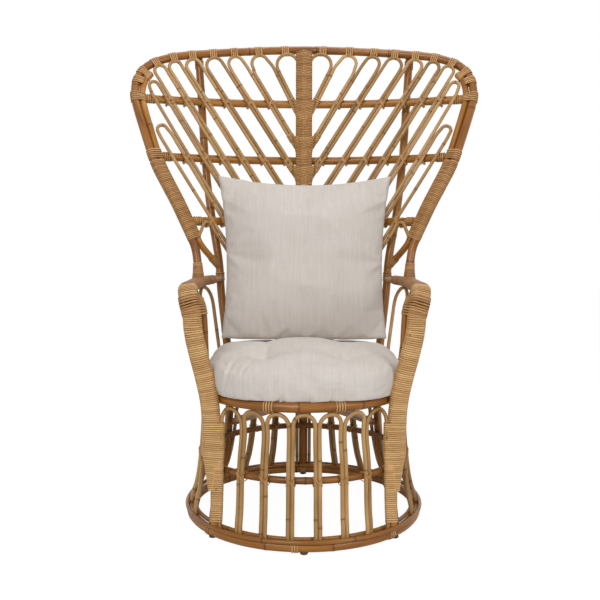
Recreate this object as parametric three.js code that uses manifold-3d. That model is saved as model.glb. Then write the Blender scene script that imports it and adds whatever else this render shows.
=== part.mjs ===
// Peacock chair of bent poles and canes, with a seat cushion and a back pillow.
// Millimetres. The chair faces -Y and Z is up from the floor. Right and left are as seen from its front:
// right is +X. The drawing is built round the axis of the base, and the group is centred at the end.
import * as THREE from 'three';
import { mergeVertices } from 'three/addons/utils/BufferGeometryUtils.js';
import Module from 'manifold-3d';

const wasm = await Module();
wasm.setup();

// Clearances
const fit = 0.3; // between pieces that touch
const lashGap = 0.6; // between a cane and the rail that it is lashed to
const weldGap = 0.001; // points closer than this are one point

// Facets
const poleSides = 8;
const hiddenSides = 6; // of poles inside a binding
const caneSides = 5;
const glideSides = 8;
const wrapSides = 10;
const hoopFacets = 36;
const bendSteps = 4;

// Stock: diameters of the poles and canes, and the wall of a wound binding
const cane = 10;
const baseHoopPole = 25;
const footRingPole = 11;
const waistHoopPole = 18;
const seatHoopPole = 26;
const uprightPole = 25;
const spinePole = 28;
const rimPole = 25;
const wingPole = 20;
const railPole = 25;
const legPole = 24;
const armPole = 18;
const armStayPole = 16;
const bracePole = 22;
const deckPole = 20;
const bindingWall = 1.5;

// Base: radii are to the centre-lines of the hoops, heights too
const baseRadius = 308.5;
const waistRadius = 268.5;
const waistHeight = 166;
const seatRadius = 272;
const seatHeight = 347;
const glideHeight = 4;
const glideDiameter = 22;
const glideAngles = [0, 48, 125, 180, 235, 312];
const flareHeight = 85; // a place on the drum's flare between its foot and its waist
const flareShare = 0.45; // of the flare that is left there
const frontLegReaches = { foot: 222, seat: 226 }; // of the front legs, from the middle of the chair
const frontReachAngle = 48.3; // from the middle of the front to the last cane, at the seat
const legCaneAngles = { foot: 44.4, head: 22 }; // of the last cane beside the leg, forward of inwards
const rearLegAngles = { base: 125, waist: 129, seat: 131.7 };
const frontArchCount = 7;
const sideArchCount = 4;
const backArchCount = 3; // on each side of the spine
const tieHeight = 7; // of the lashing that joins neighbouring canes

// Seat deck
const slatCount = 9;
const slatSpacing = 50;
const deckPoleReach = 120; // of the two cross poles, in front of and behind the middle
const nailSink = 0.6; // how far a slat is pressed into its cross pole
const braceReach = 85; // of a brace's front end, from the middle of the chair
const braceDrop = 8; // of its front end below the seat hoop's centre-line
const braceHeight = 203; // of its rear end

// Back: a sheet that leans back and is bowed forward at its sides
const backLeanAngle = 7;
const rimHeight = 1339;
const rimReach = 511; // half of the width between the rim's centre-lines
const rimSetback = 9; // of the rim behind the sheet of canes
const bowReach = 300; // half width at which the bow is measured
const bowDepth = 200;
const lowBowShares = [[0, 1], [0.55, 0.94]]; // height share from the seat to the arm, share of the bow
const highBowShares = [[0.0224, 0.85], [0.1348, 0.765], [0.2453, 0.64], [0.4831, 0.4],
  [0.7922, 0.2], [1, 0.13]]; // height share from the arm to the rim, share of the bow
const railShares = { upper: 0.7608, middle: 0.5105, lower: 0.242 }; // from the arm to the rim

// Rim outline on one side: shares of the rim's reach, and of its height above the arm, from the top
// down to the arm
const rimShares = [[0, 1], [0.2, 0.9963], [0.39, 0.9878], [0.55, 0.9775], [0.7, 0.9644], [0.79, 0.9522],
  [0.872, 0.9326], [0.93, 0.9092], [0.97, 0.8783], [0.992, 0.8408], [1, 0.794], [0.99, 0.7416],
  [0.935, 0.6255], [0.858, 0.4794], [0.79, 0.3857], [0.734, 0.3108], [0.682, 0.2322], [0.645, 0.1741],
  [0.621, 0.1273], [0.609, 0.0749], [0.604, 0.0299], [0.602, 0]];
const rimSteps = 26; // on each side
const spineTopDrop = 6; // of the spine's end below the rim's centre-line
const innerWingTopShare = 0.897; // height share, from arm to rim, at which the inner wing pole starts
const wingSplitShare = 0.1442; // at which the two wing poles part
const wingBindingTopShare = 0.4906;
const innerWingFootRise = 31; // of its foot on the upright, above the armrest's centre-line

// Fan of canes on one side: reach of each pair at the upper rail, as shares of the rim's reach, and
// how steeply it climbs, as shares of the back's height above the arm over the rim's reach
const pairShares = [0.067, 0.204, 0.331, 0.47, 0.595, 0.703, 0.804, 0.897];
const steepShares = [1.4294, 1.1792, 1.1078, 1.1006, 1.1221, 1.1435, 1.1614, 1.1864];
const outerPairShare = 0.779; // reach of the last cane at the middle rail
const outerSteepShare = 1.1506;
const fanFootRise = 22; // of the lowest cane ends above the seat hoop
const cornerArchShares = [0.895, 0.8174]; // of the rim's reach, and of its height above the arm
const sideArchShares = [0.833, 0.6255];
const footArchShares = [0.563, 0.2247];
const cornerBend = 13;
const footBend = 11;
const footFall = 33; // of the last cane's end below its bend

// Arms
const armHeight = 624; // centre-line of the armrest
const armBend = 55;
const armFront = -205; // front-most centre-line of the inner arm pole
const armReach = 289; // widest centre-line of the inner arm pole
const postShares = [[0, 0], [0.27, 0.184], [0.55, 0.425], [0.78, 0.59], [1, 0.65]]; // rise, spread
const armRearReachShares = [[0.45, 1], [0.62, 1.01], [0.76, 0.94], [0.88, 0.72]]; // along, out
const armStayBearing = 40; // of the stay's head from the post, backward of inwards
const armStayAngle = 56; // of its foot, outside the seat hoop
const armArchCount = 3;
const armArchAngles = [66, 121]; // of the first and last foot on the seat hoop
const armPoleFootShare = 0.232; // height share from the waist hoop to the seat hoop
const armBindingFootShare = 0.696;

// Cushions
const seatCushionReach = 254;
const seatCushionDepth = 258;
const seatCushionHeight = 108;
const seatCushionBack = -22;
const cushionSquareness = 2.8; // the power of its plan's outline
const tuftReach = 108;
const tuftDepth = 26;
const tuftSpread = 46;
const pillowWidth = 500;
const pillowHeight = 500;
const pillowThickness = 150;
const pillowEdge = 14;
const pillowDraw = 16;
const pillowTopDraw = 26;
const pillowFlare = 0.03; // by which its top is wider than its middle
const pillowLeanAngle = 14;
const pillowSwellShare = 0.42;
const pillowGrid = 11;
const cushionEdgeShare = 0.42;
const cushionSideShare = 0.42;
const cushionBottomShare = 0.6;
const cushionColumns = 26;
const cushionRows = 14;

// Colours and finishes
const finish = {
  pole: [0xa8622c, 0.38], rail: [0x9a5526, 0.4], cane: [0xb98a52, 0.5], binding: [0xcf9c58, 0.55],
  deck: [0x8c5a2e, 0.55], linen: [0xcfc8c1, 0.92],
};

// Points and angles
const radians = THREE.MathUtils.degToRad;
const lerp = THREE.MathUtils.lerp;
const up = new THREE.Vector3(0, 0, 1);
const point = (x, y, z) => new THREE.Vector3(x, y, z);
const mirrored = (p) => point(-p.x, p.y, p.z);

// Places between the rows of a table of [place, value], joined by a smooth line
function smoothTable(rows) {
  const places = rows.map((row) => row[0]);
  const values = rows.map((row) => row[1]);
  const line = new THREE.CubicInterpolant(places, values, 1);
  return (place) => line.evaluate(THREE.MathUtils.clamp(place, places[0], places.at(-1)))[0];
}

// Solids
function toSolid(geometry) {
  const bare = geometry.clone();
  for (const name of ['normal', 'uv']) bare.deleteAttribute(name);
  const merged = mergeVertices(bare, weldGap);
  const mesh = new wasm.Mesh({
    numProp: 3,
    vertProperties: new Float32Array(merged.attributes.position.array),
    triVerts: new Uint32Array(merged.index.array),
  });
  return new wasm.Manifold(mesh);
}

function toGeometry(solid) {
  const mesh = solid.getMesh();
  const geometry = new THREE.BufferGeometry();
  geometry.setAttribute('position', new THREE.BufferAttribute(new Float32Array(mesh.vertProperties), 3));
  geometry.setIndex(new THREE.BufferAttribute(new Uint32Array(mesh.triVerts), 1));
  geometry.computeVertexNormals();
  return geometry;
}

const volume = (solid) => solid.volume();

// The piece less its neighbours, without the crumbs that a cut leaves
function coped(solid, cutters) {
  const cut = cutters.reduce((left, cutter) => left.subtract(cutter), solid);
  return cut.decompose().sort((a, b) => volume(b) - volume(a))[0];
}

const fused = (solids) => solids.reduce((all, solid) => all.add(solid));

// A route is a curve whose steps are its own stations, so that bends get short steps and straights
// long ones; one corner of the section always faces the way that is asked
class Route extends THREE.Curve {
  constructor(stations, facings) {
    super();
    this.stations = stations;
    this.facings = facings;
  }

  getSpacedPoints() {
    return this.stations;
  }

  computeFrenetFrames() {
    const last = this.stations.length - 1;
    const tangents = this.stations.map((here, i) => {
      const before = this.stations[Math.max(i - 1, 0)];
      const after = this.stations[Math.min(i + 1, last)];
      const arriving = here.clone().sub(before).normalize();
      const leaving = after.clone().sub(here).normalize();
      return arriving.add(leaving).normalize();
    });
    const normals = tangents.map((tangent, i) => {
      const facing = this.facings[i].clone();
      return facing.addScaledVector(tangent, -facing.dot(tangent)).normalize();
    });
    const binormals = tangents.map((tangent, i) => tangent.clone().cross(normals[i]));
    return { tangents, normals, binormals };
  }

  // The same route, moved sideways in its own section: out along the facing and across it
  shifted(out, across) {
    const { normals, binormals } = this.computeFrenetFrames();
    const stations = this.stations.map((station, i) =>
      station.clone().addScaledVector(normals[i], out).addScaledVector(binormals[i], across));
    return new Route(stations, this.facings);
  }

  part(first, last) {
    return new Route(this.stations.slice(first, last), this.facings.slice(first, last));
  }

  mirror() {
    return new Route(this.stations.map(mirrored), this.facings.map(mirrored));
  }
}

function sweep(route, shape) {
  const steps = route.stations.length - 1;
  return new THREE.ExtrudeGeometry(shape, { steps, extrudePath: route, bevelEnabled: false });
}

function circlePoints(radius, sides, centre = new THREE.Vector2()) {
  return Array.from({ length: sides }, (_, i) => {
    const angle = (i / sides) * 2 * Math.PI;
    return new THREE.Vector2(centre.x + radius * Math.cos(angle), centre.y + radius * Math.sin(angle));
  });
}

// A pole or cane; grow widens it into the room that a coped neighbour leaves free
function pole(route, diameter, sides = poleSides, grow = 0) {
  return toSolid(sweep(route, new THREE.Shape(circlePoints(diameter / 2 + grow, sides))));
}

// The outline of a cord drawn tight round some circles
function tightOutline(circles, room) {
  const corner = 1 / Math.cos(Math.PI / wrapSides);
  const points = circles.flatMap(({ at, radius }) => circlePoints((radius + room) * corner, wrapSides, at));
  points.sort((a, b) => a.x - b.x || a.y - b.y);
  const turn = (a, b, c) => (b.x - a.x) * (c.y - a.y) - (b.y - a.y) * (c.x - a.x);
  const chain = (list) => {
    const line = [];
    for (const next of list) {
      while (line.length > 1 && turn(line.at(-2), line.at(-1), next) <= weldGap) line.pop();
      line.push(next);
    }
    line.pop();
    return line;
  };
  return [...chain(points), ...chain([...points].reverse())];
}

// A binding wound round one or more poles that run side by side
function binding(route, circles, grow = 0) {
  const shape = new THREE.Shape(tightOutline(circles, fit + bindingWall + grow));
  if (grow === 0) shape.holes.push(new THREE.Path(tightOutline(circles, fit)));
  return toSolid(sweep(route, shape));
}

function hoop(radius, diameter, height, sides, grow = 0) {
  const ring = new THREE.TorusGeometry(radius, diameter / 2 + grow, sides, hoopFacets);
  return toSolid(ring.translate(0, 0, height));
}

// A ring of flats that stays outside the circle of this radius
const aroundRadius = (radius) => radius / Math.cos(Math.PI / hoopFacets);

// Base
const baseHoopHeight = glideHeight + baseHoopPole / 2;
const ringOffset = (cane + footRingPole) / 2 + fit;
const ringDrop = (baseHoopPole + footRingPole) / 2 + fit;
const footRingHeight = baseHoopHeight + Math.sqrt(ringDrop ** 2 - ringOffset ** 2);
const footRingTop = footRingHeight + footRingPole / 2;
const caneFoot = baseHoopHeight + baseHoopPole / 2 + 2 * fit;
const archCrown = seatHeight - (seatHoopPole + cane) / 2 - fit;
const hoopClearance = (hoopPole, pole) => (hoopPole + pole) / 2 + fit;

// Radius of the ring on which poles of one thickness stand, over the height of the base
function standingRadius(diameter, upTo) {
  const waist = waistRadius + hoopClearance(waistHoopPole, diameter);
  return smoothTable([
    [baseHoopHeight, baseRadius],
    [footRingTop, baseRadius],
    [flareHeight, lerp(waist, baseRadius, flareShare)],
    [waistHeight, waist],
    upTo,
  ]);
}
const wrapOver = (diameter) => (diameter + 2 * (bindingWall + fit)) / Math.cos(Math.PI / wrapSides);
const legOver = wrapOver(legPole);
const caneRadiusAt = standingRadius(cane, [archCrown, seatRadius]);
const legRadiusAt = standingRadius(legOver, [seatHeight, seatRadius + hoopClearance(seatHoopPole, legOver)]);
const rearRadiusAt = standingRadius(uprightPole,
  [seatHeight, seatRadius + hoopClearance(seatHoopPole, uprightPole)]);
const spineRadiusAt = standingRadius(spinePole,
  [seatHeight, seatRadius + hoopClearance(seatHoopPole, spinePole)]);

const armPoleFoot = lerp(waistHeight, seatHeight, armPoleFootShare);
const armBindingFoot = lerp(waistHeight, seatHeight, armBindingFootShare);
const drumHeights = [baseHoopHeight, footRingTop, flareHeight, waistHeight, seatHeight];
const onDrum = (angle, radius, z) => point(radius * Math.sin(angle), -radius * Math.cos(angle), z);
const outwards = (p) => point(p.x, p.y, 0).normalize();
const frontLegReachAt = smoothTable([[armBindingFoot, frontLegReaches.foot],
  [seatHeight, frontLegReaches.seat]]);
const frontCornerAt = (z) => Math.asin(frontLegReachAt(z) / legRadiusAt(z));
const rearCornerAt = smoothTable([[baseHoopHeight, radians(rearLegAngles.base)],
  [waistHeight, radians(rearLegAngles.waist)], [seatHeight, radians(rearLegAngles.seat)]]);

function baseHoop() {
  const glides = glideAngles.map((angle) => {
    const wide = glideDiameter / 2;
    const glide = new THREE.CylinderGeometry(wide, wide, baseHoopHeight, glideSides);
    const at = onDrum(radians(angle), baseRadius, baseHoopHeight / 2);
    return toSolid(glide.rotateX(Math.PI / 2).translate(at.x, at.y, at.z));
  });
  return fused([hoop(baseRadius, baseHoopPole, baseHoopHeight, poleSides), ...glides]);
}
const footRings = (grow) => [
  hoop(aroundRadius(baseRadius + ringOffset), footRingPole, footRingHeight, caneSides, grow),
  hoop(baseRadius - ringOffset, footRingPole, footRingHeight, caneSides, grow),
];
const footRoom = [hoop(baseRadius, baseHoopPole, baseHoopHeight, poleSides, fit), ...footRings(fit)];

// The last cane of the front runs down beside the front leg, and the two are bound together
const legCaneGap = (legPole + cane) / 2 + fit;
const legCaneAngleAt = smoothTable([[footRingTop, radians(legCaneAngles.foot)],
  [armBindingFoot, radians(legCaneAngles.head)]]);
const fromLegCane = (z) => point(Math.cos(legCaneAngleAt(z)), Math.sin(legCaneAngleAt(z)), 0);
const legCaneStops = [footRingTop, flareHeight, waistHeight, armPoleFoot, armBindingFoot];
const legCanePlaces = legCaneStops.map((z) =>
  onDrum(frontCornerAt(z), legRadiusAt(z), z).addScaledVector(fromLegCane(z), -legCaneGap));
const legCaneRadiusAt = smoothTable([...legCanePlaces.map((p) => [p.z, Math.hypot(p.x, p.y)]),
  [archCrown, seatRadius]]);
const legCaneCornerAt = smoothTable([...legCanePlaces.map((p) => [p.z, Math.atan2(p.x, -p.y)]),
  [archCrown, radians(frontReachAngle)]]);

// One inverted U of cane between two edges; an edge gives the angle and the radius at each height
const drumCaneEdge = { stops: [footRingTop, flareHeight, waistHeight], radiusAt: caneRadiusAt };
const legCaneEdge = { stops: legCaneStops, radiusAt: legCaneRadiusAt };
function baseArchRoute(start, end) {
  const middle = (start.angleAt(archCrown) + end.angleAt(archCrown)) / 2;
  const bend = caneRadiusAt(archCrown) * (end.angleAt(archCrown) - middle);
  const springing = archCrown - bend;
  const leg = ({ angleAt, radiusAt, stops }) =>
    [caneFoot, ...stops, springing].map((z) => onDrum(angleAt(z), radiusAt(z), z));
  const over = Array.from({ length: bendSteps }, (_, i) => {
    const turn = ((i + 1) / (bendSteps + 1)) * Math.PI;
    const z = springing + bend * Math.sin(turn);
    const across = (1 - Math.cos(turn)) / 2;
    const radius = lerp(start.radiusAt(z), end.radiusAt(z), across);
    return onDrum(lerp(start.angleAt(z), end.angleAt(z), across), radius, z);
  });
  const stations = [...leg(start), ...over, ...leg(end).reverse()];
  return new Route(stations, stations.map(outwards));
}

// Routes of arches that fill the drum evenly between two corners; each keeps room for its cane
const halfPair = (cane + fit) / 2;
function baseArchRoutes(count, fromAt, toAt, roomFrom, roomTo, lastEdge = drumCaneEdge) {
  const edge = (place, room) => ({
    ...(place % count === 0 ? lastEdge : drumCaneEdge),
    angleAt: (z) => {
      const radius = caneRadiusAt(z);
      const start = fromAt(z) + (roomFrom - halfPair) / radius;
      const end = toAt(z) - (roomTo - halfPair) / radius;
      return lerp(start, end, place / count) + room / radius;
    },
  });
  return Array.from({ length: count }, (_, i) =>
    baseArchRoute(edge(i, halfPair), edge(i + 1, -halfPair)));
}

// Lashings that join neighbouring arches where their legs run together
function joinedArches(routes) {
  const canes = routes.map((route) => pole(route, cane, caneSides));
  const ties = routes.slice(0, -1).map((route, i) => {
    const a = route.stations.at(-2);
    const b = routes[i + 1].stations[1];
    const middle = a.clone().add(b).divideScalar(2);
    const low = middle.clone().addScaledVector(up, -tieHeight / 2);
    const high = middle.clone().addScaledVector(up, tieHeight / 2);
    const tie = new Route([low, high], [outwards(middle), outwards(middle)]);
    return pole(tie, cane, caneSides);
  });
  return fused([...canes, ...ties]);
}

// Back sheet
const aboveArm = (share) => lerp(armHeight, rimHeight, share);
const upperRailHeight = aboveArm(railShares.upper);
const middleRailHeight = aboveArm(railShares.middle);
const lowerRailHeight = aboveArm(railShares.lower);
const leanSlope = Math.tan(radians(backLeanAngle));
const backFootDepth = seatRadius + hoopClearance(seatHoopPole, cane);
const bowAt = smoothTable([
  ...lowBowShares.map(([height, share]) => [lerp(seatHeight, armHeight, height), share * bowDepth]),
  ...highBowShares.map(([height, share]) => [aboveArm(height), share * bowDepth]),
]);
const sheetDepth = (x, z) => backFootDepth + leanSlope * (z - seatHeight) - bowAt(z) * (x / bowReach) ** 2;
const probe = fit; // step for measuring the sheet's slope

// The way that the sheet faces, towards the sitter
function sheetFacing(x, z) {
  const alongX = (sheetDepth(x + probe, z) - sheetDepth(x - probe, z)) / (2 * probe);
  const alongZ = (sheetDepth(x, z + probe) - sheetDepth(x, z - probe)) / (2 * probe);
  return point(alongX, -1, alongZ).normalize();
}

// The point at this x and z that lies a given way in front of the sheet
const layerRounds = 8; // of closing in on the place
function onLayer(x, z, layer) {
  let [u, w] = [x, z];
  for (let round = 0; round < layerRounds; round += 1) {
    const facing = sheetFacing(u, w);
    u = x - facing.x * layer;
    w = z - facing.z * layer;
  }
  return point(u, sheetDepth(u, w), w).addScaledVector(sheetFacing(u, w), layer);
}
const layered = (places, layer) => new Route(
  places.map(([x, z]) => onLayer(x, z, layer)),
  places.map(([x, z]) => sheetFacing(x, z)),
);

// Layers of the back, from the canes backwards
const railLayer = -(cane + railPole) / 2 - lashGap;
const rimLayer = -rimSetback;
const uprightLayer = railLayer - (railPole + uprightPole) / 2 - lashGap;
const uprightTopLayer = rimLayer - (rimPole + uprightPole) / 2 - fit;
const spineLayer = railLayer + (railPole + wrapOver(spinePole)) / 2 + lashGap;

// Rim and wings
const onRim = ([x, z]) => new THREE.Vector2(x * rimReach, aboveArm(z));
const rimLine = new THREE.SplineCurve(rimShares.map(onRim));
const rimPlaces = rimLine.getSpacedPoints(rimSteps).map((p) => [p.x, p.y]);
const rimSideRoute = layered(rimPlaces, rimLayer);
const rimRoute = new Route(
  [...rimSideRoute.mirror().stations.slice(1).reverse(), ...rimSideRoute.stations],
  [...rimSideRoute.mirror().facings.slice(1).reverse(), ...rimSideRoute.facings],
);
const stationBelow = (share) => rimPlaces.findIndex(([x, z]) => x > rimReach / 2 && z < aboveArm(share));
const wingGap = (rimPole + wingPole) / 2 + fit;

// Rear uprights stand on the base hoop, pass behind the seat and run up behind the rails to the rim
const uprightShares = [[0, 0.492], [0.1198, 0.516], [0.2734, 0.556], [0.5094, 0.6], [0.7603, 0.63],
  [0.9587, 0.65]]; // height share from the arm to the rim, reach share of the rim's reach
const uprightReachAt = smoothTable(uprightShares.map(([z, x]) => [aboveArm(z), x * rimReach]));
const underArmShare = 0.8743; // from the seat to the arm, where the upright meets the back sheet
const uprightStops = [lerp(seatHeight, armHeight, underArmShare), aboveArm(uprightShares[1][0] / 2),
  aboveArm(railShares.lower / 1.5), lowerRailHeight,
  (lowerRailHeight + middleRailHeight) / 2, middleRailHeight, (middleRailHeight + upperRailHeight) / 2,
  upperRailHeight, aboveArm(uprightShares.at(-1)[0])];
function uprightRoute() {
  const legs = drumHeights.map((z) => onDrum(rearCornerAt(z), rearRadiusAt(z), z));
  const backs = uprightStops.map((z, i) => {
    const atTop = i === uprightStops.length - 1;
    return onLayer(uprightReachAt(z), z, atTop ? uprightTopLayer : uprightLayer);
  });
  const stations = [...legs, ...backs];
  return new Route(stations, stations.map((p) => sheetFacing(p.x, p.z)));
}
const rightUpright = uprightRoute();

// Spine
const spineTopHeight = rimHeight - spineTopDrop;
const spineHeightShares = [0.0334, 0.1618, 0.297, 0.4592, 0.6621, 0.8648, 0.9486, 1]; // above the seat
function spineRoute() {
  const legs = drumHeights.map((z) => onDrum(Math.PI, spineRadiusAt(z), z));
  const backHeights = spineHeightShares.map((share) => lerp(seatHeight, spineTopHeight, share));
  const behindSeat = legs.at(-1).y;
  const backs = backHeights.map((z) => onLayer(0, z, spineLayer));
  for (const back of backs) back.y = Math.max(back.y, behindSeat);
  const stations = [...legs, ...backs];
  return new Route(stations, stations.map(() => point(0, -1, 0)));
}
const spine = spineRoute();
const sideCane = (spinePole + cane) / 2 + fit;
const spineBundle = [
  { at: new THREE.Vector2(0, 0), radius: spinePole / 2 },
  { at: new THREE.Vector2(0, sideCane), radius: cane / 2 },
  { at: new THREE.Vector2(0, -sideCane), radius: cane / 2 },
];
const spineBindingRoute = spine.part(drumHeights.length, -1);
const spineHalfWidth = sideCane + cane / 2 + 2 * fit + bindingWall;

// The inner wing pole lies beside the rim pole as far as the split, then goes to the upright
const seatProbes = 200; // places along the upright where the pole's end may seat
const wingTop = stationBelow(innerWingTopShare);
const wingSplit = stationBelow(wingSplitShare);
function innerWingRoute() {
  const beside = rimSideRoute.shifted(0, wingGap).part(wingTop, wingSplit);
  const seat = new THREE.CatmullRomCurve3(rightUpright.stations);
  const foot = seat.getPoints(seatProbes).find((p) => p.z > armHeight + innerWingFootRise);
  const stations = [...beside.stations, foot];
  return new Route(stations, [...beside.facings, sheetFacing(foot.x, foot.z)]);
}
const innerWing = innerWingRoute();
const wingBindingStart = stationBelow(wingBindingTopShare);
const wingBundle = [
  { at: new THREE.Vector2(0, 0), radius: rimPole / 2 },
  { at: new THREE.Vector2(0, wingGap), radius: wingPole / 2 },
];
const wingBindingRoute = rimSideRoute.part(wingBindingStart, wingSplit - 1);

// Rails
function railRoute(height, reach) {
  const railSteps = 16;
  const across = Array.from({ length: railSteps + 1 }, (_, i) => lerp(-reach, reach, i / railSteps));
  return layered(across.map((x) => [x, height]), railLayer);
}
const reachAt = (route, height) => route.stations.reduce((best, p) =>
  (Math.abs(p.z - height) < Math.abs(best.z - height) ? p : best)).x;

// Fan canes
const pairSide = (cane + fit) / 2;
const steepness = (share) => (share * (rimHeight - armHeight)) / rimReach;
const pairLines = [
  ...pairShares.map((share, i) => ({
    x: share * rimReach, z: upperRailHeight, slope: steepness(steepShares[i]),
  })),
  { x: outerPairShare * rimReach, z: middleRailHeight, slope: steepness(outerSteepShare) },
];
const besidePair = (line, side) => (z) =>
  line.x + (z - line.z) / line.slope + side * pairSide * Math.hypot(1, 1 / line.slope);
const legDirection = (slope) => new THREE.Vector2(-1, -slope).normalize();
const fanFoot = seatHeight + fanFootRise;
const betweenLowRails = (middleRailHeight + lowerRailHeight) / 2;
const fanStops = [upperRailHeight, middleRailHeight, betweenLowRails, lowerRailHeight];

// Places down one leg, from the bend to the spine
function legPlaces(xAt, fromZ) {
  const slope = (xAt(fromZ) - xAt(fanFoot)) / (fromZ - fanFoot);
  const endZ = Math.max(fanFoot, fromZ - (xAt(fromZ) - spineHalfWidth) / slope - bindingWall);
  const low = (Math.min(fromZ, lowerRailHeight) + fanFoot) / 2;
  const stops = [...fanStops, low].filter((z) => z < fromZ - cane && z > endZ + cane);
  return [...stops, endZ].map((z) => [xAt(z), z]);
}

// The centre of a bend that lies just under the rim, on the middle line between two legs
const rimDrop = Math.sqrt(((rimPole + cane) / 2 + fit) ** 2 - rimSetback ** 2);
const closeRounds = 30;
const rimProbes = 208;
const probedRim = rimLine.getSpacedPoints(rimProbes);
function bendUnderRim(xAt, bend) {
  let [low, high] = [middleRailHeight, rimHeight];
  for (let round = 0; round < closeRounds; round += 1) {
    const z = (low + high) / 2;
    const centre = new THREE.Vector2(xAt(z), z);
    const nearest = Math.min(...probedRim.map((p) => p.distanceTo(centre)));
    if (nearest > bend + rimDrop) low = z;
    else high = z;
  }
  return new THREE.Vector2(xAt(low), low);
}

function bendPlaces(centre, bend, fromAngle, toAngle) {
  return Array.from({ length: bendSteps + 2 }, (_, i) => {
    const angle = lerp(fromAngle, toAngle, i / (bendSteps + 1));
    return [centre.x + bend * Math.cos(angle), centre.y + bend * Math.sin(angle)];
  });
}

// One fan cane: up beside the inner pair, round the bend and down beside the outer pair
function fanArchRoute(inner, outer, placeShares) {
  const innerAt = besidePair(inner, 1);
  const outerAt = besidePair(outer, -1);
  const slope = (inner.slope + outer.slope) / 2;
  const middleAt = (z) => (innerAt(z) + outerAt(z)) / 2;
  const width = (outerAt(upperRailHeight) - innerAt(upperRailHeight)) / 2;
  const bend = placeShares ? cornerBend : width * Math.sin(Math.atan(slope));
  const centre = placeShares ? onRim(placeShares) : bendUnderRim(middleAt, bend);
  const lean = Math.atan(slope);
  const over = bendPlaces(centre, bend, lean + Math.PI / 2, lean - Math.PI / 2);
  const innerLeg = legPlaces(innerAt, over[0][1]).reverse();
  const outerLeg = legPlaces(outerAt, over.at(-1)[1]);
  return layered([...innerLeg, ...over, ...outerLeg], 0);
}

// The first cane hugs the spine on its inner side
function firstArchRoute(outer) {
  const outerAt = besidePair(outer, -1);
  const lean = Math.atan(outer.slope);
  const tautness = Math.sin(lean) / (1 + Math.sin(lean));
  let bend = rimPole;
  let centre = bendUnderRim(() => sideCane + bend, bend);
  for (let round = 0; round < layerRounds; round += 1) {
    bend = (outerAt(centre.y) - sideCane) * tautness;
    centre = bendUnderRim(() => sideCane + bend, bend);
  }
  const over = bendPlaces(centre, bend, Math.PI, lean - Math.PI / 2);
  const innerStops = [upperRailHeight - rimPole, (upperRailHeight + centre.y) / 2];
  const innerLeg = innerStops.map((z) => [sideCane, z]);
  const outerLeg = legPlaces(outerAt, over.at(-1)[1]);
  const places = [...innerLeg, ...over, ...outerLeg];
  const forward = (i) => THREE.MathUtils.clamp((i - innerLeg.length) / (over.length - 1), 0, 1);
  const stations = places.map(([x, z], i) => onLayer(x, z, lerp(spineLayer, 0, forward(i))));
  return new Route(stations, places.map(([x, z]) => sheetFacing(x, z)));
}

// The last cane springs from the wound wing
function lastArchRoute(inner) {
  const innerAt = besidePair(inner, 1);
  const centre = onRim(footArchShares);
  const lean = Math.atan(inner.slope);
  const over = bendPlaces(centre, footBend, lean + Math.PI / 2, 0);
  const innerLeg = legPlaces(innerAt, over[0][1]).reverse();
  const [endX, endZ] = over.at(-1);
  const tail = [endX + footBend, endZ - footFall];
  return layered([...innerLeg, ...over, tail], 0);
}

function fanRoutes() {
  const routes = [firstArchRoute(pairLines[0])];
  for (let i = 1; i < pairLines.length - 2; i += 1) {
    routes.push(fanArchRoute(pairLines[i - 1], pairLines[i]));
  }
  routes.push(fanArchRoute(pairLines.at(-3), pairLines.at(-2), cornerArchShares));
  routes.push(fanArchRoute(pairLines.at(-2), pairLines.at(-1), sideArchShares));
  routes.push(lastArchRoute(pairLines.at(-1)));
  return routes;
}

// Arms: the inner pole is the front leg too, and the outer pole lies beside it
const armGap = (legOver + armPole) / 2 + fit;
const armLegHeights = [baseHoopHeight, ...legCaneStops, seatHeight];
const armSeat = rightUpright.stations.reduce((best, p) =>
  (Math.abs(p.z - armHeight) < Math.abs(best.z - armHeight) ? p : best));
function armRoute() {
  const legs = armLegHeights.map((z) => onDrum(frontCornerAt(z), legRadiusAt(z), z));
  const start = legs.at(-1);
  const spread = armReach - start.x;
  const rise = armHeight - armBend - seatHeight;
  const post = postShares.slice(1, -1).map(([height, share]) =>
    point(start.x + share * spread, lerp(start.y, armFront, height), seatHeight + height * rise));
  const [, postTop] = postShares.at(-1);
  const [[, restStart]] = armRearReachShares;
  const bend = [0, 1 / 3, 2 / 3, 1].map((share) => {
    const turn = share * (Math.PI / 2);
    const out = lerp(postTop, restStart, (Math.sin(turn) + turn / Math.PI) / 2);
    const ahead = armFront + armBend * (1 - Math.cos(turn));
    return point(start.x + out * spread, ahead, armHeight - armBend * (1 - Math.sin(turn)));
  });
  const length = armSeat.y - armFront;
  const rest = armRearReachShares.map(([along, out]) =>
    point(start.x + out * spread, armFront + along * length, armHeight));
  const stations = [...legs, ...post, ...bend, ...rest, point(armSeat.x, armSeat.y, armHeight)];
  return new Route(stations, stations.map(() => point(1, 0, 0)));
}
const arm = armRoute();
const seatStation = armLegHeights.indexOf(seatHeight);
const bendStart = seatStation + postShares.length - 1;
const armBundle = [
  { at: new THREE.Vector2(0, 0), radius: legPole / 2 },
  { at: new THREE.Vector2(armGap, 0), radius: armPole / 2 },
];
const legBundle = [
  { at: new THREE.Vector2(0, 0), radius: legPole / 2 },
  { at: new THREE.Vector2(-legCaneGap, 0), radius: cane / 2 },
];
const armBindingRoute = arm.part(armLegHeights.indexOf(armBindingFoot), -1);
const towards = (from, to, distance) => from.clone().lerp(to, distance / from.distanceTo(to));
function legBindingRoute() {
  const [foot, ...middles] = arm.stations.slice(1, seatStation);
  const head = middles.pop();
  const stations = [towards(foot, middles[0], footRingPole / 2), ...middles,
    towards(head, middles.at(-1), bindingWall)];
  return new Route(stations, stations.map((p) => fromLegCane(p.z)));
}

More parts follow.
